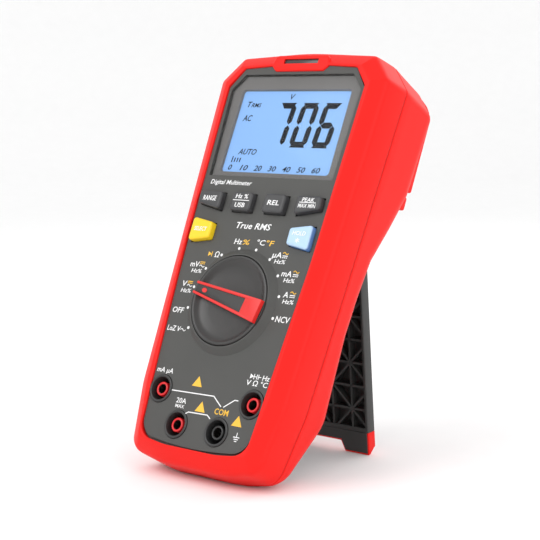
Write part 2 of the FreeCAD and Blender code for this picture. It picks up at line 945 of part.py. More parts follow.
# each chip's middle (x, z), then how wide, tall and deep it is
chips = [
    (-14.0, 96.0, 14.0, 14.0, 2.0),
    (14.0, 100.0, 9.0, 7.0, 1.8),
    (-20.0, 76.0, 5.0, 6.0, 2.6),
    (16.0, 80.0, 12.0, 6.0, 4.0),
    (-4.0, 118.0, 20.0, 4.0, 3.0),
]
name_piece(
    "board_chips",
    group(
        *[
            box((x - w / 2, x + w / 2), (board_back, board_back + deep), (z - tall / 2, z + tall / 2))
            for x, z, w, tall, deep in chips
        ]
    ),
)
buzzer_spot = (26.0, 106.0)
buzzer_back = board_back + size.buzzer_tall
name_piece("buzzer", rod("y", buzzer_spot, board_back, buzzer_back, size.buzzer_radius))

switches = []
switch_front = board_front - size.switch_tall
switch_half = size.switch_side / 2
for name in KEYS:
    x, z = key_centre(name)
    span_x = (x - switch_half, x + switch_half)
    span_z = (z - switch_half, z + switch_half)
    switches.append(box(span_x, (switch_front, board_front), span_z))
name_piece("key_switches", group(*switches))


def fuse_body(label, height, length, radius):
    """A ceramic tube fuse with a metal cap at each end, standing clear of the board."""
    centre = (board_back + size.fuse_standoff + size.fuse_large_radius, height)
    half = length / 2
    tube = rod("x", centre, -half, half, radius - 0.3)
    cap = size.fuse_cap_length
    caps = [rod("x", centre, -half, -half + cap, radius), rod("x", centre, half - cap, half, radius)]
    name_piece(label, fuse(tube, *caps))


def clip_pair(height, length, radius):
    """The two spring clips that a fuse is pushed into."""
    centre = (board_back + size.fuse_standoff + size.fuse_large_radius, height)
    made = []
    for side in (-1, 1):
        middle_x = side * (length / 2 - 3.5)
        outer = box(
            (middle_x - size.clip_width / 2, middle_x + size.clip_width / 2),
            (board_back, centre[0] + 0.5 * radius),
            (height - radius - size.clip_wall, height + radius + size.clip_wall),
        )
        made.append(cut(outer, rod("x", centre, middle_x - 3.0, middle_x + 3.0, radius + 0.02)))
    return made


fuse_body("fuse_small", size.fuse_small_height, size.fuse_small_length, size.fuse_small_radius)
fuse_body("fuse_large", size.fuse_large_height, size.fuse_large_length, size.fuse_large_radius)
name_piece(
    "fuse_clips",
    group(
        *clip_pair(size.fuse_small_height, size.fuse_small_length, size.fuse_small_radius),
        *clip_pair(size.fuse_large_height, size.fuse_large_length, size.fuse_large_radius),
    ),
)
shunt_height = (size.jack_height_lower + size.jack_height_upper) / 2 + 2.0
shunt_bar = rod("x", (board_back + 4.0, shunt_height), -3.4, 3.4, 1.0)
shunt_legs = [rod("y", (side * 2.6, shunt_height), board_back, board_back + 4.0, 0.8) for side in (-1, 1)]
name_piece("current_shunt", fuse(shunt_bar, *shunt_legs))

# ---------------------------------------------------------------- input jacks

for name, spot in JACKS.items():
    floor = 0.0 + size.jack_depth
    tube = cut(
        rod("y", spot, -size.jack_proud, floor, size.jack_collar),
        rod("y", spot, -size.jack_proud - 1.0, floor - size.jack_floor, size.jack_well),
    )
    post = rod("y", spot, 0.6, floor, size.jack_post)
    inner = size.jack_bore + size.contact_wall
    hole = rod("y", spot, -1.0, floor - 1.0, inner)
    name_piece(name + "_jack_body", cut(fuse(tube, post), hole))
    contact = cut(
        rod("y", spot, 1.0, floor - 1.0, inner),
        rod("y", spot, 0.0, floor - 2.0, size.jack_bore),
    )
    name_piece(name + "_jack_contact", contact)

# ---------------------------------------------------------------- battery, its door and the screws

name_piece(
    "battery",
    box(
        (-battery_half + 0.1, battery_half - size.snap_room),
        (battery_front, battery_rear),
        (0.0 + battery_bottom, battery_top),
    ),
)
snap_x = battery_half - size.snap_room
snap_y = (battery_front + battery_rear) / 2
snap_mid = (battery_bottom + battery_top) / 2
snap_plate = box(
    (snap_x + 0.4, snap_x + 2.4),
    (snap_y - 6.0, snap_y + 6.0),
    (snap_mid - 12.0, snap_mid + 12.0),
)
snaps = [rod("x", (snap_y, snap_mid + side * 6.3), snap_x, snap_x + 2.0, 2.8) for side in (-1, 1)]
name_piece("battery_snap", fuse(snap_plate, *snaps))
door_plate = box(
    (-door_half, door_half),
    (0.0 + door_back, 0.0 + door_face),
    (0.0 + door_bottom, 0.0 + door_top),
)


def screw(spot, seat, length):
    """A pan-head screw driven towards the face: the head sits behind seat, with a cross slot."""
    head = rod("y", spot, seat, seat + size.screw_head_tall, size.screw_head)
    shank = rod("y", spot, seat - length, seat + 0.2, size.screw_radius - 0.02)
    x, z = spot
    long = size.screw_slot_long / 2
    wide = size.screw_slot_wide / 2
    deep = (seat + size.screw_head_tall - size.screw_slot_deep, seat + size.screw_head_tall + 0.2)
    across = box((x - long, x + long), deep, (z - wide, z + wide))
    upright = box((x - wide, x + wide), deep, (z - long, z + long))
    return cut(fuse(head, shank), across, upright)


door_seat = door_face - size.screw_head_tall - 0.1
door_head_holes = [rod("y", spot, door_seat, BACK, size.screw_head + 0.2) for spot in door_spots]
door_shank_holes = [rod("y", spot, door_back - 1.0, BACK, size.screw_radius + 0.2) for spot in door_spots]
name_piece("battery_cover", cut(door_plate, *door_head_holes, *door_shank_holes))
cover_screws = [screw(spot, door_seat, size.cover_screw_length) for spot in door_spots]
name_piece("battery_cover_screws", group(*cover_screws))
case_seat = size.waist_depth - size.boot_wall - size.screw_recess
case_screws = [screw(spot, case_seat, size.case_screw_length) for spot in case_screw_spots()]
board_screws = [screw(spot, board_back, size.board_screw_length) for spot in board_screw_spots()]
name_piece("case_screws", group(*case_screws))
name_piece("board_screws", group(*board_screws))

# ---------------------------------------------------------------- rotary selector

dial = (0.0, size.dial_height)
rotor_back = size.rotor_depth + size.rotor_thick
detent_front = 0.0 + size.face_wall
detent_back = detent_front + size.detent_thick
ring = cut(
    rod("y", dial, detent_front, detent_back, size.detent_radius + size.detent_band),
    rod("y", dial, detent_front - 1.0, detent_back + 1.0, size.detent_radius - size.detent_band),
)
notches = []
for turn in range(16):
    angle = math.radians(22.5 * turn)
    x = size.detent_radius * math.cos(angle)
    z = size.dial_height + size.detent_radius * math.sin(angle)
    notches.append(ball(x, detent_back + 0.5 * size.ball_radius, z, size.ball_radius + 0.15))
name_piece("detent_ring", cut(ring, *notches))


def detent_pair():
    """Two balls on opposite sides of the rotor, each just clear of a notch."""
    made = []
    for turn in (-45.0, 135.0):
        x = size.detent_radius * math.cos(math.radians(turn))
        z = size.dial_height + size.detent_radius * math.sin(math.radians(turn))
        made.append(ball(x, detent_back + size.ball_radius + size.part_gap, z, size.ball_radius))
    return made


name_piece("detent_balls", group(*detent_pair()))
rotor_disc = rod("y", dial, 0.0 + size.rotor_depth, rotor_back, size.rotor_radius)
rotor_boss = rod("y", dial, 4.2, size.rotor_depth + 0.2, size.hub_radius + 2.4)
rotor_bore = rod("y", dial, 3.0, rotor_back + 1.0, size.hub_radius)
name_piece("selector_rotor", cut(fuse(rotor_disc, rotor_boss), rotor_bore, *detent_pair()))
fingers = []
for turn in (30.0, 150.0, 210.0, 330.0):
    x = (size.rotor_radius - 5.0) * math.cos(math.radians(turn))
    z = size.dial_height + (size.rotor_radius - 5.0) * math.sin(math.radians(turn))
    fingers.append(box((x - 2.4, x + 2.4), (rotor_back, board_front - 0.15), (z - 0.7, z + 0.7)))
name_piece("rotor_contacts", group(*fingers))

knob_front = -size.knob_proud
knob_disc = rod("y", dial, knob_front, 0.0 - size.knob_base, size.dial_radius)
knob_scoop = rod("y", dial, knob_front - 1.0, knob_front + size.scoop_depth, size.scoop_radius)
knob_hub = rod("y", dial, -size.knob_base - 0.2, rotor_back, size.hub_radius)
POINTING = math.radians(168.75)


def bar_outline(inset, tip_cut, end_cut):
    """The tapered grip bar, pointing at the set position: narrow at its tip and wide at its end."""
    along = (math.cos(POINTING), math.sin(POINTING))
    corners = []
    for reach, half in (
        (size.bar_reach - tip_cut, size.bar_tip_width / 2 - inset),
        (-size.bar_reach + end_cut, size.bar_end_width / 2 - inset),
    ):
        for side in (-1, 1) if len(corners) == 0 else (1, -1):
            x = reach * along[0] - side * half * along[1]
            z = size.dial_height + reach * along[1] + side * half * along[0]
            corners.append((x, z))
    return line(*corners)


bar = plate("grip_bar", bar_outline(0.0, 0.0, 0.0), -size.bar_proud, knob_front + size.scoop_depth + 0.2)
bar_top = plate(
    "pointer_seat",
    bar_outline(0.0 + size.bar_rim, 1.0, 1.0),
    -size.bar_proud - 1.0,
    -size.bar_proud + size.pointer_recess,
)
name_piece("selector_knob", cut(fuse(cut(knob_disc, knob_scoop), bar, knob_hub), bar_top))
name_piece(
    "selector_pointer",
    plate(
        "pointer",
        bar_outline(size.bar_rim + size.part_gap / 2, 1.1, 1.1),
        -size.bar_proud - 0.2,
        -size.bar_proud + size.pointer_recess,
    ),
)

# ---------------------------------------------------------------- keys

flange_front = size.face_wall + 0.3
flange_back = flange_front + size.key_flange
mat_front = flange_back + size.key_travel + 0.2
stem_end = size.board_depth - size.switch_tall - size.key_travel - 0.1
for name in KEYS:
    centre = key_centre(name)
    cap = plate(name + "_cap", key_shape(name, 0.0), -size.key_proud, 0.0 + flange_back)
    flange = plate(name + "_flange", key_shape(name, 0.0 + size.flange_reach), flange_front, flange_back)
    stem = rod("y", centre, flange_back - 0.2, stem_end, size.stem_radius)
    name_piece(name, fuse(cap, flange, stem))
mat_half = size.key_outer_far + size.mat_margin
mat_bottom = mode_key_height - size.mode_key_far_tall / 2 - size.mat_margin
mat_top = key_height + size.key_tall + size.mat_margin
mat_back = mat_front + size.mat_thick
mat_holes = [rod("y", key_centre(name), 0.0, 12.0, size.stem_radius + size.running_gap) for name in KEYS]
name_piece(
    "keypad_mat",
    cut(box((-mat_half, mat_half), (mat_front, mat_back), (mat_bottom, mat_top)), *mat_holes),
)

# ---------------------------------------------------------------- tilt stand

pin = (size.hinge_depth, hinge_height)
stand_face = size.hinge_depth - size.stand_front
stand_rear = size.hinge_depth + size.stand_back
tip_height = hinge_height - size.stand_length
half = size.stand_width / 2
foot_inner = half - size.foot_span


def stand_outline():
    """The stand seen from the front, lying closed: two feet with a shallow notch between them."""
    return symmetric(
        [
            ((foot_inner - 2.0, tip_height + size.foot_notch), None),
            ((0.0 + foot_inner, 0.0 + tip_height), None),
            ((0.0 + half, 0.0 + tip_height), None),
            ((0.0 + half, 0.0 + hinge_height), None),
        ]
    )


stand_plate = plate("stand_plate", stand_outline(), 0.0 + stand_face, 0.0 + stand_rear)
barrel = rod("x", pin, 0.0 - half, 0.0 + half, size.stand_back)
pins = rod("x", pin, -half - size.pin_reach, half + size.pin_reach, size.hinge_pin)
hollow_front = stand_face - 1.0
hollow_back = stand_rear - size.stand_skin
hollow_half = half - 3.0
hollow_bottom = tip_height + size.foot_tall + 2.0
hollow_top = hinge_height - 7.0


def rib(x0, z0, x1, z1):
    """A rib of the triangular grid that stiffens the stand's inner side."""
    reach = math.hypot(x1 - x0, z1 - z0)
    across = (float(size.rib_wall) / 2 * (z1 - z0) / reach, float(size.rib_wall) / 2 * (x1 - x0) / reach)
    return line(
        (x0 - across[0], z0 + across[1]),
        (x0 + across[0], z0 - across[1]),
        (x1 + across[0], z1 - across[1]),
        (x1 - across[0], z1 + across[1]),
    )


def prism(path, low, high):
    """A straight prism of a path between two depths."""
    corners = [FreeCAD.Vector(x, float(low), z) for (x, z), _ in path]
    face_wire = Part.makePolygon(corners + corners[:1])
    return Part.Face(face_wire).extrude(FreeCAD.Vector(0, float(high) - float(low), 0))


hollow = box((-hollow_half, hollow_half), (hollow_front, hollow_back), (hollow_bottom, hollow_top))
ribs = []
pitch = float(size.rib_pitch)
rows = int((float(hollow_top) - float(hollow_bottom)) / pitch) + 1
columns = int(float(hollow_half) / pitch) + 2
for row in range(rows + 1):
    base = float(hollow_bottom) + row * pitch
    for column in range(-columns, columns + 1):
        x = (column + 0.5 * (row % 2)) * 2 * pitch * 0.5
        for lean_side in (-0.5, 0.5):
            ribs.append(prism(rib(x, base, x + lean_side * pitch, base + pitch), stand_face, hollow_back))
    low = (-columns * pitch, base)
    ribs.append(prism(rib(low[0], low[1], -low[0], base + 1e-6), stand_face, hollow_back))
grid = doc.addObject("Part::Feature", "rib_grid")
grid.Shape = ribs[0].multiFuse(ribs[1:])
bevel = new_body("foot_bevel")
pad(
    bevel,
    "foot_bevel_pad",
    "x",
    0.0 - half - 1.0,
    half + 1.0,
    line(
        (size.hinge_depth + 1.0, tip_height - 1.0),
        (stand_rear + 1.0, tip_height - 1.0),
        (stand_rear + 1.0, tip_height + size.stand_back),
    ),
)
stand_solid = cut(fuse(stand_plate, barrel, pins), bevel)
stand_frame = cut(stand_solid, cut(hollow, grid))
cap_space = fuse(
    box(
        (-half - 1.0, half + 1.0),
        (stand_face + 2.2, stand_rear + 1.0),
        (tip_height - 1.0, tip_height + size.foot_tall),
    ),
    box(
        (-half - 1.0, half + 1.0),
        (stand_face - 1.0, stand_rear + 1.0),
        (tip_height - 1.0, tip_height + size.foot_notch + 1.6),
    ),
)
name_piece("tilt_stand", cut(stand_frame, cap_space))
name_piece("stand_end_cap", common(stand_solid, cap_space))

# ---------------------------------------------------------------- placing and writing

heel = (
    float(size.heel_depth) - float(size.heel_radius) * math.tan(
        math.atan2(
            float(size.bulge_height + size.seam_flare), float(size.bulge_depth - size.heel_depth)
        ) / 2
    ),
    float(size.heel_radius) - float(size.seam_flare),
)
opened = math.radians(float(size.stand_angle))
foot = (
    float(size.hinge_depth)
    + float(size.stand_length) * math.sin(opened)
    - float(size.stand_front) * math.cos(opened),
    float(hinge_height)
    - float(size.stand_length) * math.cos(opened)
    - float(size.stand_front) * math.sin(opened),
)
across = foot[0] - heel[0]
rise = foot[1] - heel[1]
lean = math.degrees(
    math.acos(-float(size.heel_radius) / math.hypot(across, rise)) - math.atan2(across, rise)
)
across_axis = FreeCAD.Vector(1, 0, 0)
leaned = FreeCAD.Placement(FreeCAD.Vector(), FreeCAD.Rotation(across_axis, -lean))
hinge_line = FreeCAD.Vector(0, float(size.hinge_depth), float(hinge_height))
swung = FreeCAD.Placement(
    FreeCAD.Vector(), FreeCAD.Rotation(across_axis, float(size.stand_angle)), hinge_line
)


def stand_placement(label):
    """The stand and its rubber end are drawn closed, and swung open about the hinge."""
    on_stand = label in ("tilt_stand", "stand_end_cap")
    return leaned * swung if on_stand else FreeCAD.Placement(leaned)


def whole_box():
    total = FreeCAD.BoundBox()
    for thing in pieces.values():
        total.add(thing.Shape.optimalBoundingBox(False, False))
    return total


for label, thing in pieces.items():
    thing.Placement = stand_placement(label)
doc.recompute()
rough = whole_box()
shift = FreeCAD.Vector(-(rough.XMin + rough.XMax) / 2, -(rough.YMin + rough.YMax) / 2, -rough.ZMin)
for label, thing in pieces.items():
    placed = stand_placement(label)
    placed.Base = placed.Base + shift
    thing.Placement = placed
doc.recompute()

for thing in doc.Objects:
    if "Invalid" in thing.State or "Error" in thing.State:
        raise RuntimeError(f"{thing.Name} did not build")
for label, thing in pieces.items():
    if thing.Shape.isNull() or not thing.Shape.isValid():
        raise RuntimeError(f"{label} has no valid shape")

os.makedirs("parts", exist_ok=True)
for label, thing in pieces.items():
    thing.Shape.exportStep(f"parts/{label}.step")

hinge = leaned.multVec(hinge_line) + shift
knob = leaned.multVec(FreeCAD.Vector(0, 0, float(size.dial_height))) + shift
print("lean", round(lean, 4), "hinge", hinge, "knob", knob)
for name, (x, z) in JACKS.items():
    contact_middle = FreeCAD.Vector(float(x), (1.0 + float(size.jack_depth) - 2.0) / 2, float(z))
    print(name, leaned.multVec(contact_middle) + shift)
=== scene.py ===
import math
import bpy
import bmesh
from mathutils import Matrix, Vector
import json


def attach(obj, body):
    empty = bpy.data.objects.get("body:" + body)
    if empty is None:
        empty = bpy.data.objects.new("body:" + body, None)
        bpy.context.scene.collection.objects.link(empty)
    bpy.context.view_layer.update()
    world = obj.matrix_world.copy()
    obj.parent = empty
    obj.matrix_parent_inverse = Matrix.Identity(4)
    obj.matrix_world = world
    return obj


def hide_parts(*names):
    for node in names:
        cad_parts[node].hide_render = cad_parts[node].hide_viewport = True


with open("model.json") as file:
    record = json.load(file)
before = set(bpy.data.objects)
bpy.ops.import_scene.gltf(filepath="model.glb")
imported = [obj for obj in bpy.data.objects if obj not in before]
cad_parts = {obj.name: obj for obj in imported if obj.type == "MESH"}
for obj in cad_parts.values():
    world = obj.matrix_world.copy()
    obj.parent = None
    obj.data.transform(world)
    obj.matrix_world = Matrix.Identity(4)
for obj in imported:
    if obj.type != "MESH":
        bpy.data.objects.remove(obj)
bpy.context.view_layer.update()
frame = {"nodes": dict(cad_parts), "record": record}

# ------------------------------------------------------------------ camera, light and table
# A small product set: the meter stands on a pale round sweep whose rim curves up all the way round,
# with a large soft lamp above and to the left, one that fills the right side and one behind.

camera_data = bpy.data.cameras.new("camera")
camera_data.lens = 94.2
camera_data.sensor_width = 36.0
camera = bpy.data.objects.new("camera", camera_data)
bpy.context.scene.collection.objects.link(camera)
camera.location = (0.3763, -0.4554, 0.1532)
camera_aim = Vector((0.0196, -0.0293, 0.0850))
camera.rotation_mode = "QUATERNION"
camera.rotation_quaternion = (camera_aim - camera.location).to_track_quat("-Z", "Y")
bpy.context.scene.camera = camera


def lamp(name, place, size, power):
    data = bpy.data.lights.new(name, "AREA")
    data.shape = "DISK"
    data.size = size
    data.energy = power
    made = bpy.data.objects.new(name, data)
    made.location = place
    made.rotation_mode = "QUATERNION"
    made.rotation_quaternion = (Vector((0, 0, 0.08)) - Vector(place)).to_track_quat("-Z", "Y")
    bpy.context.scene.collection.objects.link(made)


lamp("key_lamp", (-0.30, -0.75, 0.75), 0.6, 3.4)
lamp("fill_lamp", (0.85, -0.25, 0.40), 0.8, 2.2)
lamp("back_lamp", (0.1, 0.8, 0.7), 0.7, 1.6)

world = bpy.data.worlds.new("studio")
world.use_nodes = True
sky = world.node_tree.nodes["Background"].inputs
sky["Color"].default_value = (1.0, 1.0, 1.0, 1.0)
sky["Strength"].default_value = 0.98
bpy.context.scene.world = world
bpy.context.scene.view_settings.view_transform = "Standard"


class Wire:
    """A shader value: arithmetic on it adds Math nodes, and Shade.add makes every other node."""

    def __init__(self, shade, socket):
        self.shade = shade
        self.socket = socket

    def math(self, operation, *others):
        return self.shade.add("ShaderNodeMath", {"operation": operation}, [self, *others])

    def __add__(self, other):
        return self.math("ADD", other)

    def __mul__(self, other):
        return self.math("MULTIPLY", other)

    def __sub__(self, other):
        return self.math("SUBTRACT", other)


class Shade:
    """One material and its nodes."""

    def __init__(self, name):
        self.material = bpy.data.materials.new(name)
        self.material.use_nodes = True
        self.tree = self.material.node_tree
        self.surface = self.tree.nodes["Principled BSDF"]
        self.spot = self.add("ShaderNodeTexCoord", {}, [], "Object")

    def add(self, kind, settings, values, result=0):
        node = self.tree.nodes.new(kind)
        for key, value in settings.items():
            setattr(node, key, value)
        pairs = values.items() if isinstance(values, dict) else enumerate(values)
        for key, value in pairs:
            self.feed(node.inputs[key], value)
        return Wire(self, node.outputs[result])

    def feed(self, socket, value):
        if isinstance(value, Wire):
            self.tree.links.new(value.socket, socket)
        else:
            socket.default_value = value

    def noise(self, scale, detail=2.0, roughness=0.5):
        values = {"Vector": self.spot, "Scale": scale, "Detail": detail, "Roughness": roughness}
        return self.add("ShaderNodeTexNoise", {}, values, "Fac")

    def along_x(self):
        return self.add("ShaderNodeSeparateXYZ", {}, [self.spot], "X")

    def blend(self, mask, first, second):
        """Goes from the first colour to the second as mask goes from 0 to 1."""
        factor, colour_a, colour_b, mixed = 0, 6, 7, 2
        values = {factor: mask, colour_a: first, colour_b: second}
        return self.add("ShaderNodeMix", {"data_type": "RGBA"}, values, mixed)

    def bump(self, height, strength, distance):
        values = {"Height": height, "Strength": strength, "Distance": distance}
        return self.add("ShaderNodeBump", {}, values, "Normal")

    def set(self, **values):
        names = {"colour": "Base Color", "roughness": "Roughness", "metallic": "Metallic",
                 "normal": "Normal", "specular": "Specular IOR Level", "alpha": "Alpha",
                 "glow": "Emission Color", "glow_strength": "Emission Strength"}
        for key, value in values.items():
            self.feed(self.surface.inputs[names[key]], value)
        return self.material


def rgb(red, green, blue):
    return (red, green, blue, 1.0)


def table_paper():
    """Seamless white paper, a little uneven."""
    shade = Shade("table_paper")
    colour = shade.blend(shade.noise(60.0, 3.0), rgb(0.92, 0.92, 0.92), rgb(0.95, 0.95, 0.95))
    return shade.set(colour=colour, roughness=0.75)


def table():
    """A round floor that turns up into a low wall, spun from one profile."""
    bm = bmesh.new()
    floor = 1.3
    bend = 0.7
    profile = [Vector((0.0, 0.0, 0.0)), Vector((floor, 0.0, 0.0))]
    for turn in (0.3, 0.6, 0.9, 1.2, 1.5):
        profile.append(Vector((floor + bend * math.sin(turn), 0.0, bend - bend * math.cos(turn))))
    verts = [bm.verts.new(point) for point in profile]
    edges = [bm.edges.new(pair) for pair in zip(verts, verts[1:])]
    bmesh.ops.spin(bm, geom=verts + edges, cent=(0, 0, 0), axis=(0, 0, 1), angle=math.tau, steps=96,
                   use_merge=True)
    bmesh.ops.remove_doubles(bm, verts=bm.verts[:], dist=1e-5)
    bmesh.ops.recalc_face_normals(bm, faces=bm.faces[:])
    if min(bm.faces, key=lambda f: f.calc_center_median().length).normal.z < 0:
        bmesh.ops.reverse_faces(bm, faces=bm.faces[:])
    for face in bm.faces:
        face.smooth = True
    mesh = bpy.data.meshes.new("table")
    bm.to_mesh(mesh)
    bm.free()
    made = bpy.data.objects.new("table", mesh)
    made.data.materials.append(table_paper())
    bpy.context.scene.collection.objects.link(made)


table()

# ------------------------------------------------------------------ the red rubber boot
# Soft red rubber moulded over both halves of the case: a rim and bevel round the face, a parting
# line along the sides, and a thick back with a window for the stand and one for the battery door.

MM = 0.001
JOINTS = {joint["name"]: joint for joint in frame["record"]["behaviour"]["joints"]}
DIAL_HEIGHT = 69.1
outward = Vector(JOINTS["selector_turn"]["axis"])
upward = Vector((0.0, outward.z, -outward.y))
dial_centre = Vector(JOINTS["selector_turn"]["pos_m"])
# turns the meter's own millimetres (x right, y into the body, z from the bottom end) into the frame
LEAN = Matrix((
    (MM, 0, 0, 0),
    (0, -outward.y * MM, upward.y * MM, 0),
    (0, -outward.z * MM, upward.z * MM, 0),
    (0, 0, 0, 1),
))
LEAN.translation = dial_centre - upward * DIAL_HEIGHT * MM

SEAM = 16.0
# right-hand corners from the bottom end up as (x, z, radius); those of BACK are (depth, z, radius)
BODY = [(17.0, 0.0, 60.0), (34.4, 3.2, 7.5), (39.0, 31.0, 45.0), (45.0, 169.3, 4.0), (35.4, 180.45, 4.0),
        (0.0, 182.4, 150.0)]
FACE = [(14.0, 7.5, 50.0), (28.4, 9.3, 7.5), (34.1, 90.0, 300.0), (36.2, 165.0, 1.5), (29.9, 173.1, 1.5),
        (0.0, 174.9, 150.0)]
BACK = [(22.0, -1.2, 14.0), (34.5, 31.0, 20.0), (29.4, 72.0, 110.0), (32.5, 106.0, 28.0),
        (43.6, 127.0, 12.0), (44.4, 183.6, 9.0)]
BUMP = [(12.7, 172.0, 1.2), (15.4, 174.4, 1.2), (13.9, 179.2, 2.0)]
SLOT_HALF = 9.2
SLOT_HEIGHTS = (175.3, 177.5)
ARC_STEPS = 8
EDGE_STEPS = 8
BEVEL_FROM = math.radians(60.0)


def corner_arc(before, corner, after, radius, steps):
    """Points along the round that joins two straight runs at a corner."""
    first = (before - corner).normalized()
    second = (after - corner).normalized()
    half = first.angle(second) / 2
    if half > math.pi / 2 - 1e-4:
        return [corner.copy() for _ in range(steps + 1)]
    reach = radius / math.tan(half)
    centre = corner + (first + second).normalized() * (radius / math.sin(half))
    start = corner + first * reach - centre
    end = corner + second * reach - centre
    turn = start.angle_signed(end)
    points = []
    for step in range(steps + 1):
        angle = turn * step / steps
        points.append(centre + Matrix.Rotation(-angle, 2) @ start)
    return points


def mirrored(corners):
    """Closes a right-hand run of (x, z, radius) corners, bottom to top, with its mirror image."""
    right = [(Vector((x, z)), r) for x, z, r in corners]
    left = [(Vector((-p.x, p.y)), r) for p, r in reversed(right) if p.x > 0.0]
    return right + left


def round_loop(loop, inset, steps=ARC_STEPS, runs=EDGE_STEPS):
    """The points of a closed loop of (corner, radius) pairs, moved inwards by inset and rounded."""
    count = len(loop)
    moved = []
    for index in range(count):
        before, corner, after = (loop[(index + k) % count][0] for k in (-1, 0, 1))
        first = (corner - before).normalized()
        second = (after - corner).normalized()
        normals = [Vector((-d.y, d.x)) for d in (first, second)]
        across = (normals[0] + normals[1]).normalized()
        moved.append(corner + across * (inset / max(0.3, across.dot(normals[0]))))
    points = []
    for index in range(count):
        before, corner, after = (moved[(index + k) % count] for k in (-1, 0, 1))
        radius = max(0.15, loop[index][1] - inset)
        arc = corner_arc(before, corner, after, radius, steps)
        if points:
            last = points[-1]
            points += [last.lerp(arc[0], step / runs) for step in range(1, runs)]
        points += arc
    last = points[-1]
    points += [last.lerp(points[0], step / runs) for step in range(1, runs)]
    return points


def rounded_outline(corners, inset):
    return round_loop(mirrored(corners), inset)


def back_line():
    """The body's back seen from the side, as points (depth, height) from the bottom end up."""
    front = -6.0
    inner = [Vector(corner[:2]) for corner in BACK]
    loop = [Vector((front, inner[0].y)), *inner, Vector((front, inner[-1].y))]
    points = []
    for index, corner in enumerate(BACK):
        points += corner_arc(*loop[index:index + 3], corner[2], steps=12)
    return points


BACK_LINE = back_line()


def back_depth(z):
    """How deep the body is at a height."""
    for low, high in zip(BACK_LINE, BACK_LINE[1:]):
        if low.y <= z <= high.y and high.y > low.y:
            share = (z - low.y) / (high.y - low.y)
            return low.x + (high.x - low.x) * share
    return BACK_LINE[0].x if z < BACK_LINE[0].y else BACK_LINE[-1].x


def start_ring(bm, points):
    verts = [bm.verts.new(point) for point in points]
    for index, vert in enumerate(verts):
        bm.edges.new((vert, verts[(index + 1) % len(verts)]))
    return verts


def ring_edges(bm, ring):
    return [bm.edges.get((vert, ring[(index + 1) % len(ring)])) for index, vert in enumerate(ring)]


def grow_ring(bm, ring, points):
    """Extrudes a closed ring of edges and puts the new ring's corners at points."""
    made = bmesh.ops.extrude_edge_only(bm, edges=ring_edges(bm, ring))
    order = {vert: index for index, vert in enumerate(ring)}
    grown = [None] * len(ring)
    for vert in made["geom"]:
        if isinstance(vert, bmesh.types.BMVert):
            source = next(e.other_vert(vert) for e in vert.link_edges if e.other_vert(vert) in order)
            grown[order[source]] = vert
    for vert, point in zip(grown, points):
        vert.co = point
    return grown


def grow_rings(bm, layers):
    """Grows a ring through each layer of points, and gives the first ring and the last."""
    first = last = start_ring(bm, layers[0])
    for points in layers[1:]:
        last = grow_ring(bm, last, points)
    return first, last


def cap_rings(bm, rings):
    for ring in rings:
        bmesh.ops.contextual_create(bm, geom=ring_edges(bm, ring))


def at_depth(points, depth):
    return [Vector((p.x, depth, p.y)) for p in points]


def build_up(loop, sections, steps=ARC_STEPS, runs=1):
    """A solid grown along the depth: each section is (inset, depth) of the same rounded loop."""
    bm = bmesh.new()
    layers = [at_depth(round_loop(loop, inset, steps, runs), depth) for inset, depth in sections]
    cap_rings(bm, grow_rings(bm, layers))
    return bm


def carve(bm, tool, operation="DIFFERENCE"):
    """Cuts one closed shape out of another, or joins them, and gives the result."""
    holders = []
    for shape in (bm, tool):
        mesh = bpy.data.meshes.new("rough")
        bmesh.ops.recalc_face_normals(shape, faces=shape.faces[:])
        shape.to_mesh(mesh)
        shape.free()
        holders.append(bpy.data.objects.new("rough", mesh))
        bpy.context.scene.collection.objects.link(holders[-1])
    modifier = holders[0].modifiers.new("carve", "BOOLEAN")
    modifier.operation = operation
    modifier.solver = "EXACT"
    modifier.object = holders[1]
    depsgraph = bpy.context.evaluated_depsgraph_get()
    mesh = bpy.data.meshes.new_from_object(holders[0].evaluated_get(depsgraph))
    result = bmesh.new()
    result.from_mesh(mesh)
    bpy.data.meshes.remove(mesh)
    for holder in holders:
        rough = holder.data
        bpy.data.objects.remove(holder)
        bpy.data.meshes.remove(rough)
    return result


def add_rod(bm, axis, centre, low, high, radius, sides=32):
    """A closed rod along x or y between two places; centre holds its other two places."""
    made = bmesh.ops.create_cone(bm, cap_ends=True, segments=sides, radius1=radius, radius2=radius,
                                 depth=high - low)["verts"]
    if axis == "y":
        turn = Matrix.Rotation(-math.pi / 2, 4, "X")
        middle = Vector((centre[0], (low + high) / 2, centre[1]))
    else:
        turn = Matrix.Rotation(math.pi / 2, 4, "Y")
        middle = Vector(((low + high) / 2, centre[0], centre[1]))
    bmesh.ops.transform(bm, matrix=Matrix.Translation(middle) @ turn, verts=made)
    return made


def finish_piece(name, bm, material, body, replaces=(), bevel=0.0, segments=2, smooth=35.0,
                 place=LEAN):
    """Turns a bmesh in the meter's millimetres into a finished piece in the frame."""
    bmesh.ops.recalc_face_normals(bm, faces=bm.faces[:])
    if bevel:
        sharp = [e for e in bm.edges if e.is_manifold and e.calc_face_angle(0.0) > BEVEL_FROM]
        bmesh.ops.bevel(bm, geom=sharp, offset=bevel, offset_type="OFFSET", segments=segments, profile=0.5,
                        affect="EDGES", clamp_overlap=True, material=-1)
    bmesh.ops.transform(bm, matrix=place, verts=bm.verts[:])
    for face in bm.faces:
        face.smooth = True
    for edge in bm.edges:
        edge.smooth = not (edge.is_manifold and edge.calc_face_angle(0.0) > math.radians(smooth))
    mesh = bpy.data.meshes.new(name)
    bm.to_mesh(mesh)
    bm.free()
    made = bpy.data.objects.new(name, mesh)
    made.data.materials.append(material)
    bpy.context.scene.collection.objects.link(made)
    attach(made, body)
    if replaces:
        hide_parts(*replaces)


def flat_ring(outline, inset, depth):
    return at_depth(rounded_outline(outline, inset), depth)


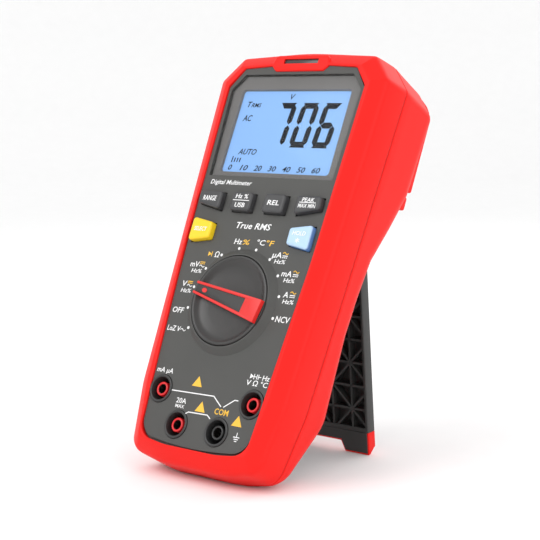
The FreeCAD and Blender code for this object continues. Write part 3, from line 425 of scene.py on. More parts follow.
def add_box(bm, x, y, z):
    """A box between (low, high) pairs."""
    made = bmesh.ops.create_cube(bm, size=1.0)["verts"]
    scale = Vector((x[1] - x[0], y[1] - y[0], z[1] - z[0]))
    middle = Vector((x[0] + x[1], y[0] + y[1], z[0] + z[1])) / 2
    for vert in made:
        vert.co = Vector(c * s for c, s in zip(vert.co, scale)) + middle
    return made


def boot_rubber():
    """Satin rubber: a fine moulded grain, faint mottling, and a slightly cloudy sheen."""
    shade = Shade("boot_rubber")
    cloud = shade.noise(35.0, 3.0)
    grain = shade.noise(5200.0, 2.0, 0.6)
    colour = shade.blend(cloud, rgb(0.76, 0.011, 0.008), rgb(0.81, 0.015, 0.011))
    rough = cloud * 0.10 + grain * 0.06 + 0.36
    normal = shade.bump(grain, 0.12, 0.00004)
    return shade.set(colour=colour, roughness=rough, normal=normal, specular=0.15)


RUBBER = boot_rubber()


def front_boot():
    bm = bmesh.new()
    sections = [
        (FACE, -0.35, 1.6), (FACE, -0.35, -0.3), (FACE, -0.42, -0.66), (FACE, -0.55, -0.8),
        (BODY, 6.6, -0.8), (BODY, 6.15, -0.6), (BODY, 5.7, -0.4), (BODY, 1.5, 2.35), (BODY, 0.75, 3.0),
        (BODY, 0.25, 3.9), (BODY, 0.0, 5.2), (BODY, -0.35, 8.5), (BODY, -0.95, 15.2), (BODY, -0.9, 15.6),
        (BODY, -0.6, 15.85), (BODY, 2.8, 15.85), (BODY, 3.0, 5.4), (BODY, 6.0, 1.9),
    ]
    first, last = grow_rings(bm, [flat_ring(*section) for section in sections])
    bmesh.ops.bridge_loops(bm, edges=ring_edges(bm, last) + ring_edges(bm, first))
    hold_heel(bm)
    bump = build_up(mirrored(BUMP), [(0.0, 3.0), (0.0, -0.35), (0.2, -0.65), (0.6, -0.8)], 4)
    bm = carve(bm, bump, "UNION")
    slot = bmesh.new()
    add_box(slot, (-SLOT_HALF, SLOT_HALF), (-2.0, 1.6), SLOT_HEIGHTS)
    bm = carve(bm, slot)
    finish_piece("front_boot_rubber", bm, RUBBER, "housing", ("front_boot",), smooth=50.0)


def hold_heel(bm):
    """Keeps the ends of the body inside the curve that the side view gives them."""
    for vert in bm.verts:
        vert.co.z = max(vert.co.z, heel_height(vert.co.y))


def heel_height(y):
    """How far up the body's bottom end has curved at a depth."""
    heel_top = 13.0
    low = [p for p in BACK_LINE if p.y < heel_top]
    if y <= low[0].x:
        return low[0].y
    for a, b in zip(low, low[1:]):
        if a.x <= y <= b.x:
            return a.y + (b.y - a.y) * (y - a.x) / (b.x - a.x)
    return low[-1].y


front_boot()

BACK_ROUND = 8.0
WALL = 2.9
LEAST_INSET = -1.2
MOST_INSET = 12.8
SIDE_INSET = -0.95
SIDE_TAPER = 0.085
ROUND_STEPS = 8
BEHIND = SEAM + 4.0


def rear_boot():
    """The rubber over the back: sides that run in with depth, a rounded edge and the curved back."""
    bm = bmesh.new()
    near = rounded_outline(BODY, LEAST_INSET)
    far = rounded_outline(BODY, MOST_INSET)

    def place(index, inset, y):
        share = (inset - LEAST_INSET) / (MOST_INSET - LEAST_INSET)
        x, z = near[index].lerp(far[index], share)
        return Vector((x, y, max(z, heel_height(y))))

    def side_inset(y):
        return SIDE_INSET + max(0.0, y - SEAM) * SIDE_TAPER

    # where each point's side stops and its rounded edge begins
    ends = [max(SEAM + 1.6, back_depth(place(i, 3.5, 20.0).z) - BACK_ROUND) for i in range(len(near))]
    lip = SEAM + 0.9
    layers = []
    for inset, y in ((-0.6, SEAM + 0.15), (-0.9, SEAM + 0.4), (SIDE_INSET, lip)):
        layers.append([place(index, inset, y) for index in range(len(near))])
    for share in (0.25, 0.5, 0.75, 1.0):
        depths = [lip + (end - lip) * share for end in ends]
        layers.append([place(index, side_inset(y), y) for index, y in enumerate(depths)])
    for step in range(1, ROUND_STEPS + 1):
        turn = math.pi / 2 * step / ROUND_STEPS
        points = []
        for index, end in enumerate(ends):
            point = place(index, side_inset(end) + BACK_ROUND * (1 - math.cos(turn)), end)
            deep = back_depth(point.z)
            point.y = min(deep, end + (deep - end) * math.sin(turn))
            points.append(point)
        layers.append(points)
    last = grow_rings(bm, layers)[1]
    halves = []
    for side in (1, -1):
        for edge in ring_edges(bm, last):
            near_x, far_x = sorted(side * vert.co.x for vert in edge.verts)
            if near_x > -0.01 and far_x > 0.01:
                halves.append(edge)
    bmesh.ops.bridge_loops(bm, edges=halves)
    bmesh.ops.recalc_face_normals(bm, faces=bm.faces[:])
    if max(bm.faces, key=lambda f: f.calc_center_median().y).normal.y < 0:
        bmesh.ops.reverse_faces(bm, faces=bm.faces[:])
    cut_window(bm, STAND_HALF, STAND_HEIGHTS)
    cut_window(bm, DOOR_HALF, DOOR_HEIGHTS)
    for x, z in CASE_SCREWS:
        for side in (-1, 1):
            cut_hole(bm, Vector((x * side, z)), SCREW_RECESS)
    bmesh.ops.solidify(bm, geom=bm.faces[:], thickness=WALL)
    return bm


def cut_window(bm, half, heights):
    """Opens a rectangle through the back: cuts along its four sides, then takes out what is inside."""
    cuts = [((-half, 0, 0), (1, 0, 0)), ((half, 0, 0), (1, 0, 0)),
            ((0, 0, heights[0]), (0, 0, 1)), ((0, 0, heights[1]), (0, 0, 1))]
    for point, normal in cuts:
        geom = bm.verts[:] + bm.edges[:] + bm.faces[:]
        bmesh.ops.bisect_plane(bm, geom=geom, plane_co=point, plane_no=normal)
    inside = []
    for face in bm.faces:
        middle = face.calc_center_median()
        if middle.y > BEHIND and abs(middle.x) < half and heights[0] < middle.z < heights[1]:
            inside.append(face)
    bmesh.ops.delete(bm, geom=inside, context="FACES")


def cut_hole(bm, centre, radius, sides=20):
    """Opens a round hole through the back: cuts along tangents, then takes out what is inside them."""
    turns = [math.tau * k / sides for k in range(sides)]
    normals = [Vector((math.cos(turn), math.sin(turn))) for turn in turns]
    reach = 9.0

    def near(item):
        return item.y > BEHIND and abs(item.x - centre.x) < reach and abs(item.z - centre.y) < reach

    for normal in normals:
        faces = [f for f in bm.faces if near(f.calc_center_median())]
        edges = {e for f in faces for e in f.edges}
        verts = {v for f in faces for v in f.verts}
        rim = centre + normal * radius
        bmesh.ops.bisect_plane(bm, geom=[*verts, *edges, *faces], plane_co=(rim.x, 0, rim.y),
                               plane_no=(normal.x, 0, normal.y))
    inside = []
    for face in bm.faces:
        middle = face.calc_center_median()
        flat = Vector((middle.x, middle.z)) - centre
        if middle.y > BEHIND and all(flat.dot(normal) < radius for normal in normals):
            inside.append(face)
    bmesh.ops.delete(bm, geom=inside, context="FACES")


SCREW_RECESS = 3.1
STAND_HALF = 29.0
STAND_HEIGHTS = (15.0, 124.0)
DOOR_HALF = 26.95
DOOR_HEIGHTS = (132.7, 170.7)
CASE_SCREWS = [(31.4, 48.0), (32.8, 84.3)]
finish_piece("rear_boot_rubber", rear_boot(), RUBBER, "housing", ("rear_boot",), smooth=50.0)

# ------------------------------------------------------------------ probe rails on the back
# Rubber rails and tabs moulded on the boot beside the battery door.  Each pair of rails grips the
# shaft of a test probe, and the pair of short tabs below grips it again further down.

PROBE_SPREAD = 32.0
CHANNEL = 7.0
RAIL = 3.0
TAB_HEIGHTS = (128.4, 134.4)
# a rail seen from the side, as (depth, height): its top end bends over the back corner of the boot
RAIL_SIDE = [(37.0, 137.0), (47.1, 137.0), (47.1, 169.2), (46.3, 171.6), (44.7, 173.6), (42.0, 175.2),
             (37.0, 176.4)]


def probe_rails():
    bm = bmesh.new()
    for side in (-1, 1):
        for across in (-1, 1):
            middle = side * PROBE_SPREAD + across * (CHANNEL + RAIL) / 2
            span = (middle - RAIL / 2, middle + RAIL / 2)
            face = bm.faces.new([bm.verts.new((span[0], y, z)) for y, z in RAIL_SIDE])
            made = bmesh.ops.extrude_face_region(bm, geom=[face])
            moved = [v for v in made["geom"] if isinstance(v, bmesh.types.BMVert)]
            bmesh.ops.translate(bm, verts=moved, vec=(RAIL, 0, 0))
            add_box(bm, span, (38.0, 45.3), TAB_HEIGHTS)
    return bm


finish_piece("probe_rails", probe_rails(), RUBBER, "housing", bevel=0.9, segments=3)

# ------------------------------------------------------------------ the grey case
# The hard case inside the boot is moulded in dark grey ABS with a fine spark texture.  Its two
# halves keep their own shape, and the deck behind the stand and the face show between the rubber.


# how deep the grain is on polished plastic, in metres
SMOOTH = 0.00001


def moulded(name, dark, light, rough=0.5, grain=3800.0, depth=0.00003, specular=0.5):
    """Moulded plastic: a faint large mottling, a fine moulded grain in roughness and bump."""
    shade = Shade(name)
    cloud = shade.noise(45.0, 3.0)
    fine = shade.noise(grain, 2.0, 0.6)
    colour = shade.blend(cloud, rgb(*dark), rgb(*light))
    roughness = fine * 0.10 + cloud * 0.05 + (rough - 0.07)
    normal = shade.bump(fine, 0.2, depth)
    return shade.set(colour=colour, roughness=roughness, normal=normal, specular=specular)


def dress(material, *nodes):
    """Gives carried-over nodes a material in place of their plain one."""
    for node in nodes:
        thing = frame["nodes"][node]
        if not thing.material_slots:
            thing.data.materials.append(material)
        for place in thing.material_slots:
            place.material = material


CASE_GREY = moulded("case_grey", (0.056, 0.056, 0.053), (0.068, 0.068, 0.064), rough=0.52, specular=0.4)
dress(CASE_GREY, "front_case", "rear_case")

# ------------------------------------------------------------------ sensor window
# A dark smoked window in the slot at the top end, behind which the voltage sensor sits.

SMOKED = moulded("smoked_window", (0.030, 0.026, 0.026), (0.045, 0.038, 0.038), rough=0.22, grain=900.0)


def sensor_window():
    bm = bmesh.new()
    gap = 0.05
    half = SLOT_HALF - gap
    add_box(bm, (-half, half), (-0.25, 1.4), (SLOT_HEIGHTS[0] + gap, SLOT_HEIGHTS[1] - gap))
    return bm


finish_piece("sensor_window_smoked", sensor_window(), SMOKED, "housing", ("sensor_window",),
             bevel=0.25)

# ------------------------------------------------------------------ display
# A clear acrylic lens lies flush in the face.  Behind it are a lighter grey printed border, the blue
# backlit glass with its black segments, and the holder and contact strip that join it to the board.

LENS = [(33.0, 123.8, 1.2), (34.7, 163.6, 1.5), (28.9, 170.6, 1.5)]
VIEW = [(29.3, 126.1, 1.6), (29.3, 164.3, 1.6)]
GLASS_FRONT = 2.5


def lens_acrylic():
    shade = Shade("lens_acrylic")
    smear = shade.noise(90.0, 3.0)
    colour = shade.blend(smear, rgb(0.02, 0.02, 0.02), rgb(0.05, 0.05, 0.05))
    return shade.set(colour=colour, roughness=smear * 0.05 + 0.04, alpha=0.10, specular=0.5)


def display_lens():
    return build_up(mirrored(LENS), [(0.12, 1.38), (0.12, 0.18), (0.2, 0.06), (0.34, 0.0)])


finish_piece("display_lens_clear", display_lens(), lens_acrylic(), "housing",
             ("display_lens",))

BORDER_GREY = moulded("border_grey", (0.165, 0.160, 0.156), (0.195, 0.190, 0.186), rough=0.45, depth=SMOOTH)


def display_border():
    """The border printed behind the lens: a flat frame whose inner edge turns back to the glass."""
    bm = bmesh.new()
    behind_lens = 1.44
    outer = start_ring(bm, at_depth(round_loop(mirrored(LENS), 0.3, 4, 6), behind_lens))
    inner = start_ring(bm, at_depth(round_loop(mirrored(VIEW), 0.0, 4, 6), behind_lens))
    bmesh.ops.bridge_loops(bm, edges=ring_edges(bm, outer) + ring_edges(bm, inner))
    grow_ring(bm, inner, at_depth(round_loop(mirrored(VIEW), 0.4, 4, 6), 2.4))
    return bm


finish_piece("display_border", display_border(), BORDER_GREY, "housing")


def lcd_blue():
    """Backlit blue: a nearly even glow, a little lighter towards the right."""
    shade = Shade("lcd_blue")
    across = shade.along_x()
    cloud = shade.noise(25.0, 2.0)
    share = shade.add("ShaderNodeClamp", {}, [across * 14.0 + cloud * 0.3 + 0.4])
    colour = shade.blend(share, rgb(0.23, 0.43, 0.80), rgb(0.25, 0.46, 0.83))
    return shade.set(colour=colour, roughness=0.35, glow=colour, glow_strength=0.42, specular=0.2)


dress(lcd_blue(), "lcd_glass")


def backlight_white():
    shade = Shade("backlight_white")
    cloud = shade.noise(120.0, 2.0)
    colour = shade.blend(cloud, rgb(0.60, 0.78, 0.98), rgb(0.70, 0.86, 1.0))
    return shade.set(colour=colour, roughness=cloud * 0.1 + 0.4)


dress(backlight_white(), "lcd_backlight")
WHITE_PLASTIC = moulded("white_plastic", (0.70, 0.70, 0.68), (0.78, 0.78, 0.76), rough=0.45)
dress(WHITE_PLASTIC, "lcd_holder", "detent_ring", "selector_rotor")
SILICONE = moulded("silicone_grey", (0.42, 0.42, 0.42), (0.50, 0.50, 0.50), rough=0.7)
dress(SILICONE, "contact_strip", "keypad_mat")

# ------------------------------------------------------------------ display segments
# The black segments of the glass: three large figures, the small words and the bar scale.

LCD_BLACK = moulded("segment_black", (0.004, 0.006, 0.012), (0.008, 0.011, 0.018), rough=0.4, depth=SMOOTH,
                     specular=0.1)
CAP_SHARE = 0.70
BOLDNESS = 0.015


def add_words(bm, depth, text, left, foot, wide, tall, shear=0.0, thick=0.03):
    """Adds flat lettering that fills wide from its left edge; tall is the height of a capital."""
    curve = bpy.data.curves.new("words", "FONT")
    curve.body = text
    curve.size = tall / CAP_SHARE
    curve.shear = shear
    curve.offset = BOLDNESS * tall
    curve.resolution_u = 2
    curve.extrude = thick / 2
    holder = bpy.data.objects.new("words", curve)
    bpy.context.scene.collection.objects.link(holder)
    depsgraph = bpy.context.evaluated_depsgraph_get()
    mesh = bpy.data.meshes.new_from_object(holder.evaluated_get(depsgraph))
    across = [vert.co.x for vert in mesh.vertices]
    stretch = wide / (max(across) - min(across))
    start = left - min(across) * stretch
    mesh.transform(Matrix(((stretch, 0, 0, start), (0, 0, -1, depth), (0, 1, 0, foot), (0, 0, 0, 1))))
    bm.from_mesh(mesh)
    bpy.data.objects.remove(holder)
    bpy.data.curves.remove(curve)
    bpy.data.meshes.remove(mesh)


def add_tile(bm, corners, depth, thick=0.03):
    """Adds a thin flat tile of (x, z) corners at a depth."""
    verts = [bm.verts.new((x, depth - thick / 2, z)) for x, z in corners]
    face = bm.faces.new(verts)
    made = bmesh.ops.extrude_face_region(bm, geom=[face])
    moved = [v for v in made["geom"] if isinstance(v, bmesh.types.BMVert)]
    bmesh.ops.translate(bm, verts=moved, vec=(0, thick, 0))


FIGURE_WIDE = 9.3
FIGURE_TALL = 20.2
STROKE = 2.65
FIGURE_LEAN = 0.075
# which of a figure's strokes are lit: top, upper right, lower right, bottom, lower left, upper left, middle
FIGURES = {"7": "1110000", "0": "1111110", "6": "1011111"}
FIGURE_FOOT = 138.4
# the small words as (text, left, foot, width, height of a capital)
GLASS_WORDS = [
    ("V", -2.8, 160.2, 2.4, 2.4), ("T", -25.4, 156.5, 2.3, 2.6), ("RMS", -23.1, 156.5, 5.4, 1.9),
    ("AC", -25.8, 150.0, 5.0, 2.8), ("AUTO", -22.8, 134.6, 10.0, 2.6),
]


def add_figure(bm, figure, x, z, depth):
    w, h, t = FIGURE_WIDE, FIGURE_TALL, STROKE
    gap = 0.18
    half = t / 2
    end = gap + 0.4
    upper = (h / 2 + gap - half, h + half * 0.2)
    lower = (-half * 0.2, h / 2 - gap + half)

    def upright(place, low, high):
        return [(place, low + half), (place + half, low + t), (place + half, high - t),
                (place, high - half), (place - half, high - t), (place - half, low + t)]

    strokes = [
        [(end, h), (w - end, h), (w - t, h - t), (t, h - t)],
        upright(w - half, *upper),
        upright(w - half, *lower),
        [(end, 0.0), (t, t), (w - t, t), (w - end, 0.0)],
        upright(half, *lower),
        upright(half, *upper),
        [(gap + half, h / 2), (gap + t, h / 2 + half), (w - gap - t, h / 2 + half),
         (w - gap - half, h / 2), (w - gap - t, h / 2 - half), (gap + t, h / 2 - half)],
    ]
    for lit, corners in zip(FIGURES[figure], strokes):
        if lit == "1":
            add_tile(bm, [(x + a + b * FIGURE_LEAN, z + b) for a, b in corners], depth)


def display_segments():
    bm = bmesh.new()
    plane = GLASS_FRONT - 0.05
    for figure, x in (("7", -8.6), ("0", 3.3), ("6", 15.1)):
        add_figure(bm, figure, x, FIGURE_FOOT, plane)
    slant = 0.25
    for word in GLASS_WORDS:
        add_words(bm, plane, *word, slant)
    for number in range(4):
        x = -25.4 + 1.45 * number
        foot, top = (131.0, 133.0) if number else (130.8, 133.6)
        add_tile(bm, [(x, foot), (x + 0.5, foot), (x + 0.7, top), (x + 0.2, top)], plane)
    for number in range(7):
        wide = 4.2 if number else 1.9
        left = -25.0 + 7.75 * number - wide / 2
        add_words(bm, plane, str(number * 10), left, 127.4, wide, 2.4, slant)
    return bm


finish_piece("display_segments", display_segments(), LCD_BLACK, "housing")

# ------------------------------------------------------------------ keys
# Six rubber-faced push keys stand proud of the face.  The row's outer keys slant at the bottom, and
# the two below them are coloured.  Each rides on its own body and carries its printed words.

KEY_FACE = -2.8
KEY_ROUND = 1.3
KEY_LOOPS = {
    "peak_key": [(20.0, 107.7), (32.5, 110.3), (32.5, 115.8), (20.0, 115.8)],
    "relative_key": [(3.2, 107.7), (14.3, 107.7), (14.3, 115.8), (3.2, 115.8)],
    "hold_key": [(20.8, 94.9), (32.0, 93.1), (32.0, 103.7), (20.8, 101.9)],
}
for key, opposite in (("range_key", "peak_key"), ("mode_key", "relative_key"), ("select_key", "hold_key")):
    KEY_LOOPS[key] = [(-x, z) for x, z in reversed(KEY_LOOPS[opposite])]
DARK_KEY = moulded("key_charcoal", (0.036, 0.036, 0.038), (0.046, 0.046, 0.048), rough=0.42, depth=0.00002)
AMBER_KEY = moulded("key_amber", (0.84, 0.56, 0.006), (0.90, 0.62, 0.012), rough=0.42, depth=0.00002)
PRINT_WHITE = moulded("print_white", (0.80, 0.80, 0.80), (0.88, 0.88, 0.88), rough=0.5, depth=SMOOTH)


def blue_key_rubber():
    """Pale blue top over darker blue sides: the colour goes by how far the place stands off the face."""
    shade = Shade("key_blue")
    product = {"operation": "DOT_PRODUCT"}
    height = shade.add("ShaderNodeVectorMath", product, [shade.spot, tuple(outward)], "Value")
    change = dial_centre.dot(outward) + 0.0016
    share = shade.add("ShaderNodeClamp", {}, [(height - change) * 1200.0])
    cloud = shade.noise(60.0, 2.0)
    colour = shade.blend(share, rgb(0.10, 0.22, 0.50), rgb(0.42, 0.60, 0.80))
    return shade.set(colour=colour, roughness=cloud * 0.08 + 0.38)


def key_cap(name):
    """A cap with a rounded and slightly dished top, and a flange that stops it behind the face."""
    loop = [(Vector(corner), KEY_ROUND) for corner in KEY_LOOPS[name]]
    sections = [(0.0, 3.9), (0.0, -1.9), (0.12, -2.35), (0.4, -2.68), (0.9, KEY_FACE), (1.7, -2.78),
                (2.5, -2.7)]
    flange = build_up(loop, [(-0.8, 3.9), (-0.8, 2.7)], 3)
    return carve(build_up(loop, sections, 5, 3), flange, "UNION")


# each key's words as (text, foot, width, height of a capital)
KEY_WORDS = {
    "range_key": [("RANGE", 111.3, 7.4, 2.2)],
    "mode_key": [("Hz %", 113.0, 6.7, 1.9), ("USB", 109.1, 5.4, 2.0)],
    "relative_key": [("REL", 110.9, 6.2, 2.1)],
    "peak_key": [("PEAK", 113.2, 6.2, 1.7), ("MAX MIN", 110.6, 8.8, 1.7)],
    "select_key": [("SELECT", 97.6, 7.0, 1.8)],
    "hold_key": [("HOLD", 98.9, 6.6, 1.8)],
}
# the line between two rows of words as (half its length, height)
KEY_RULES = {"mode_key": (4.4, 112.0), "peak_key": (4.2, 112.7)}


def key_words(name):
    bm = bmesh.new()
    plane = KEY_FACE + 0.03
    thick = 0.1
    middle = sum(x for x, _ in KEY_LOOPS[name]) / 4
    for text, foot, wide, tall in KEY_WORDS[name]:
        add_words(bm, plane, text, middle - wide / 2, foot, wide, tall, 0.1, thick)
    if name in KEY_RULES:
        half, low = KEY_RULES[name]
        left, right, high = middle - half, middle + half, low + 0.3
        add_tile(bm, [(left, low), (right, low), (right, high), (left, high)], plane, thick)
    if name == "hold_key":
        add_words(bm, plane, "*", middle - 1.0, 94.6, 2.0, 3.0, thick=thick)
    return bm


KEY_LOOKS = {"select_key": (AMBER_KEY, "amber_key"), "hold_key": (blue_key_rubber(), "blue_key")}
for key in KEY_WORDS:
    body = key[:-4] + "_button"
    look, finish = KEY_LOOKS.get(key, (DARK_KEY, "dark_key"))
    finish_piece(key + "_cap", key_cap(key), look, body, (key,), smooth=45.0)
    finish_piece(key + "_word", key_words(key), PRINT_WHITE, body)

# ------------------------------------------------------------------ rotary selector
# A shallow scooped dial with a tapered grip bar across it, moulded in dark plastic.  A red insert
# edges the bar on both sides and fills its wide end, and a red dot marks the end that points.

POINTING = math.radians(168.75)
DIAL = (0.0, DIAL_HEIGHT)
BAR = [(-18.7, -4.9), (17.8, -2.65), (17.8, 2.65), (-18.7, 4.9)]
BAR_RADIUS = 0.7
INSERT = [(-18.7, -4.9), (17.8, -2.7), (17.8, -1.65), (-10.4, -3.1), (-10.4, 3.1), (17.8, 1.65),
          (17.8, 2.7), (-18.7, 4.9)]
KNOB_DARK = moulded("knob_charcoal", (0.026, 0.025, 0.024), (0.034, 0.033, 0.032), rough=0.36, grain=5200.0,
                    depth=SMOOTH, specular=0.5)
POINTER_RED = moulded("pointer_red", (0.66, 0.012, 0.010), (0.73, 0.018, 0.015), rough=0.42, depth=0.00002)


def turned(profile, centre, steps=96):
    """A shape spun about a line through the face: profile lists (radius, depth)."""
    bm = bmesh.new()
    verts = [bm.verts.new((centre[0] + radius, depth, centre[1])) for radius, depth in profile]
    edges = [bm.edges.new(pair) for pair in zip(verts, verts[1:])]
    if profile[0][0] > 1e-6 and profile[-1][0] > 1e-6:
        edges.append(bm.edges.new((verts[-1], verts[0])))
    middle = (centre[0], 0.0, centre[1])
    bmesh.ops.spin(bm, geom=verts + edges, cent=middle, axis=(0, 1, 0), angle=math.tau, steps=steps,
                   use_merge=True)
    bmesh.ops.remove_doubles(bm, verts=bm.verts[:], dist=1e-4)
    return bm


def along_bar(corners):
    """Puts (along, across) corners of the bar in the face's own x and z."""
    c, s = math.cos(POINTING), math.sin(POINTING)
    return [Vector((u * c - v * s, DIAL_HEIGHT + u * s + v * c)) for u, v in corners]


def selector_dial():
    """The scooped disc with its rim and stem, joined to the bar that a finger and thumb turn."""
    scoop = [(15.0 * t, -0.62 - 0.55 * t * t) for t in (0.0, 0.25, 0.5, 0.75, 1.0)]
    profile = scoop + [(16.6, -1.75), (17.5, -2.55), (18.0, -2.9), (18.5, -3.0), (18.95, -2.85),
                       (19.2, -2.4), (19.25, -0.35), (6.0, -0.35), (6.0, 8.6), (0.0, 8.6)]
    bm = turned(profile, DIAL)
    loop = [(corner, BAR_RADIUS) for corner in along_bar(BAR)]
    bar = build_up(loop, [(-0.3, -0.5), (-0.1, -1.6), (0.12, -2.6), (0.12, -4.45), (0.3, -4.6)], 4)
    return carve(bm, bar, "UNION")


finish_piece("selector_dial", selector_dial(), KNOB_DARK, "selector", ("selector_knob",),
             smooth=40.0)


def selector_insert():
    loop = [(corner, 0.25) for corner in along_bar(INSERT)]
    bm = build_up(loop, [(0.0, -3.3), (0.0, -5.2), (0.06, -5.34), (0.2, -5.4)], 3)
    centre = along_bar([(12.6, 0.0)])[0]
    dot = add_rod(bm, "y", centre, -4.75, -4.5, 0.95, 24)
    longer = Matrix.Diagonal((1.45, 1.0, 1.0, 1.0))
    stretch = Matrix.Rotation(-POINTING, 4, "Y") @ longer @ Matrix.Rotation(POINTING, 4, "Y")
    middle = Vector((centre.x, 0.0, centre.y))
    place = Matrix.Translation(middle) @ stretch @ Matrix.Translation(-middle)
    bmesh.ops.transform(bm, matrix=place, verts=dot)
    return bm


finish_piece("selector_insert", selector_insert(), POINTER_RED, "selector",
             ("selector_pointer",), smooth=40.0)

# ------------------------------------------------------------------ markings on the face
# Pad-printed in white and amber: a dot for each place of the selector with its measuring units, the
# name of each socket, and the lines that join the sockets that are used together.

PRINT_AMBER = moulded("print_amber", (0.80, 0.45, 0.03), (0.88, 0.52, 0.05), rough=0.5, depth=SMOOTH)
INK = -0.02
DOT_RADIUS = 0.62
DOT_CIRCLE = 23.4
PLACES = 11
FIRST_PLACE = 213.75
PITCH = 22.5
# white and amber words round the selector as (text, left, foot, width, height of a capital)
DIAL_WHITE = [
    ("LoZ V", -30.9, 54.0, 7.4, 2.2), ("OFF", -31.0, 61.9, 6.3, 2.4), ("V", -29.9, 73.5, 2.6, 2.4),
    ("Hz%", -29.6, 70.9, 5.6, 1.7), ("mV", -28.6, 82.4, 5.0, 2.4), ("Hz%", -27.0, 79.9, 5.6, 1.7),
    ("Ω", -16.8, 87.4, 2.5, 2.4), ("Hz", -8.2, 93.9, 4.2, 2.3), ("°C", 3.9, 94.2, 4.4, 2.3),
    ("µA", 13.7, 89.6, 4.9, 2.4), ("Hz%", 15.6, 87.2, 5.6, 1.7), ("mA", 21.1, 82.2, 5.1, 2.4),
    ("Hz%", 23.0, 79.8, 5.5, 1.7), ("A", 24.9, 73.6, 2.5, 2.4), ("Hz%", 25.4, 71.1, 5.6, 1.7),
    ("NCV", 24.4, 63.3, 7.2, 2.5), ("True RMS", -9.7, 100.8, 18.6, 2.7),
    ("Digital Multimeter", -31.0, 119.8, 23.0, 2.0),
]
DIAL_AMBER = [("%", -3.6, 93.9, 3.6, 2.2), ("°F", 8.8, 94.2, 4.2, 2.3)]
# the signs for direct and alternating supply as (left, foot), with amber direct or amber alternating
DIRECT_AMBER = [(-27.0, 73.5), (-23.4, 82.4)]
WAVE_AMBER = [(19.0, 89.6), (26.9, 82.3), (28.2, 73.7)]
SIGN_WIDE = 2.7
# words by the sockets as (text, left, foot, width, height of a capital, slant)
SOCKET_WORDS = [
    ("mA µA", -29.6, 36.1, 9.0, 2.1, 0.1), ("20A", -14.3, 24.8, 5.4, 2.1, 0.0),
    ("MAX", -14.1, 22.8, 4.8, 1.4, 0.0), ("V Ω °C", 19.0, 36.7, 10.8, 2.1, 0.1),
    ("Hz", 26.3, 39.4, 3.7, 2.0, 0.1),
]
# lines by the sockets as (width, points): the capacitor sign, the link lines and the earth sign
SOCKET_LINES = [
    (0.3, [(22.1, 40.4), (23.3, 40.4)]), (0.35, [(23.4, 39.5), (23.4, 41.3)]),
    (0.35, [(24.2, 39.5), (24.2, 41.3)]), (0.3, [(24.3, 40.4), (25.5, 40.4)]),
    (0.42, [(-18.3, 29.4), (4.6, 29.9), (9.6, 26.3)]), (0.42, [(11.0, 26.3), (15.7, 29.8), (17.4, 29.8)]),
    (0.42, [(-7.6, 20.9), (-6.2, 21.8), (3.9, 22.0), (5.8, 20.8)]), (0.35, [(21.6, 17.4), (21.6, 15.6)]),
    (0.35, [(20.1, 15.6), (23.1, 15.6)]), (0.35, [(20.6, 14.8), (22.6, 14.8)]),
    (0.35, [(21.1, 14.0), (22.1, 14.0)]),
]


def link(bm, points, wide):
    """A printed line of even width through (x, z) points."""
    for start, end in zip(points, points[1:]):
        a, b = Vector(start), Vector(end)
        along = (b - a).normalized()
        across = Vector((-along.y, along.x)) * wide / 2
        a, b = a - along * wide / 4, b + along * wide / 4
        add_tile(bm, [a - across, b - across, b + across, a + across], INK)


def wave_sign(bm, left, level):
    points = [(left + SIGN_WIDE * k / 8, level + 0.42 * math.sin(math.tau * k / 8)) for k in range(9)]
    link(bm, points, 0.38)


def direct_sign(bm, left, level):
    """A line over three dashes."""
    link(bm, [(left + 0.1, level), (left + SIGN_WIDE - 0.1, level)], 0.36)
    for dash in range(3):
        start = left + 0.1 + 0.95 * dash
        link(bm, [(start, level - 0.75), (start + 0.5, level - 0.75)], 0.36)


def diode_sign(bm, left, foot):
    add_tile(bm, [(left, foot), (left + 1.8, foot + 1.0), (left, foot + 2.0)], INK)
    link(bm, [(left + 1.95, foot), (left + 1.95, foot + 2.0)], 0.35)


def dial_markings():
    white, amber = bmesh.new(), bmesh.new()
    for place in range(PLACES):
        angle = math.radians(FIRST_PLACE - PITCH * place)
        spot = (DOT_CIRCLE * math.cos(angle), DIAL_HEIGHT + DOT_CIRCLE * math.sin(angle))
        add_rod(white, "y", spot, INK - 0.015, INK + 0.015, DOT_RADIUS, sides=20)
    for bm, words in ((white, DIAL_WHITE), (amber, DIAL_AMBER)):
        for word in words:
            add_words(bm, INK, *word, 0.2 if len(word[0]) > 5 else 0.1)
    wave_sign(white, -23.4, 54.9)
    for left, foot in DIRECT_AMBER:
        direct_sign(amber, left, foot + 2.3)
        wave_sign(white, left, foot + 0.5)
    for left, foot in WAVE_AMBER:
        wave_sign(amber, left, foot + 2.1)
        direct_sign(white, left, foot + 1.0)
    diode_sign(amber, -20.4, 87.6)
    return white, amber


def socket_markings(white, amber):
    for word in SOCKET_WORDS:
        add_words(white, INK, *word)
    diode_sign(white, 20.0, 39.4)
    for wide, points in SOCKET_LINES:
        link(white, points, wide)
    add_words(amber, INK, "COM", 7.1, 23.0, 7.2, 2.4)
    for x, z in ((-5.8, 32.6), (-0.5, 22.7), (20.0, 19.8)):
        add_tile(amber, [(x - 2.7, z), (x + 2.7, z), (x, z + 4.3)], INK)


white, amber = dial_markings()
socket_markings(white, amber)
finish_piece("face_print_white", white, PRINT_WHITE, "housing")
finish_piece("face_print_amber", amber, PRINT_AMBER, "housing")

# ------------------------------------------------------------------ input sockets
# Four shrouded safety sockets: a dark collar, a coloured post in its middle with a raised lip, and a
# plated tube inside the post that takes a 4 mm plug.  The collar's dark inner wall lines the whole
# well, and that lining is painted shadow laid over the well's own coloured wall.

SOCKETS = {"milliamp": (-24.5, 29.3), "volt": (24.5, 29.3), "amp": (-10.9, 16.0), "common": (10.9, 16.0)}
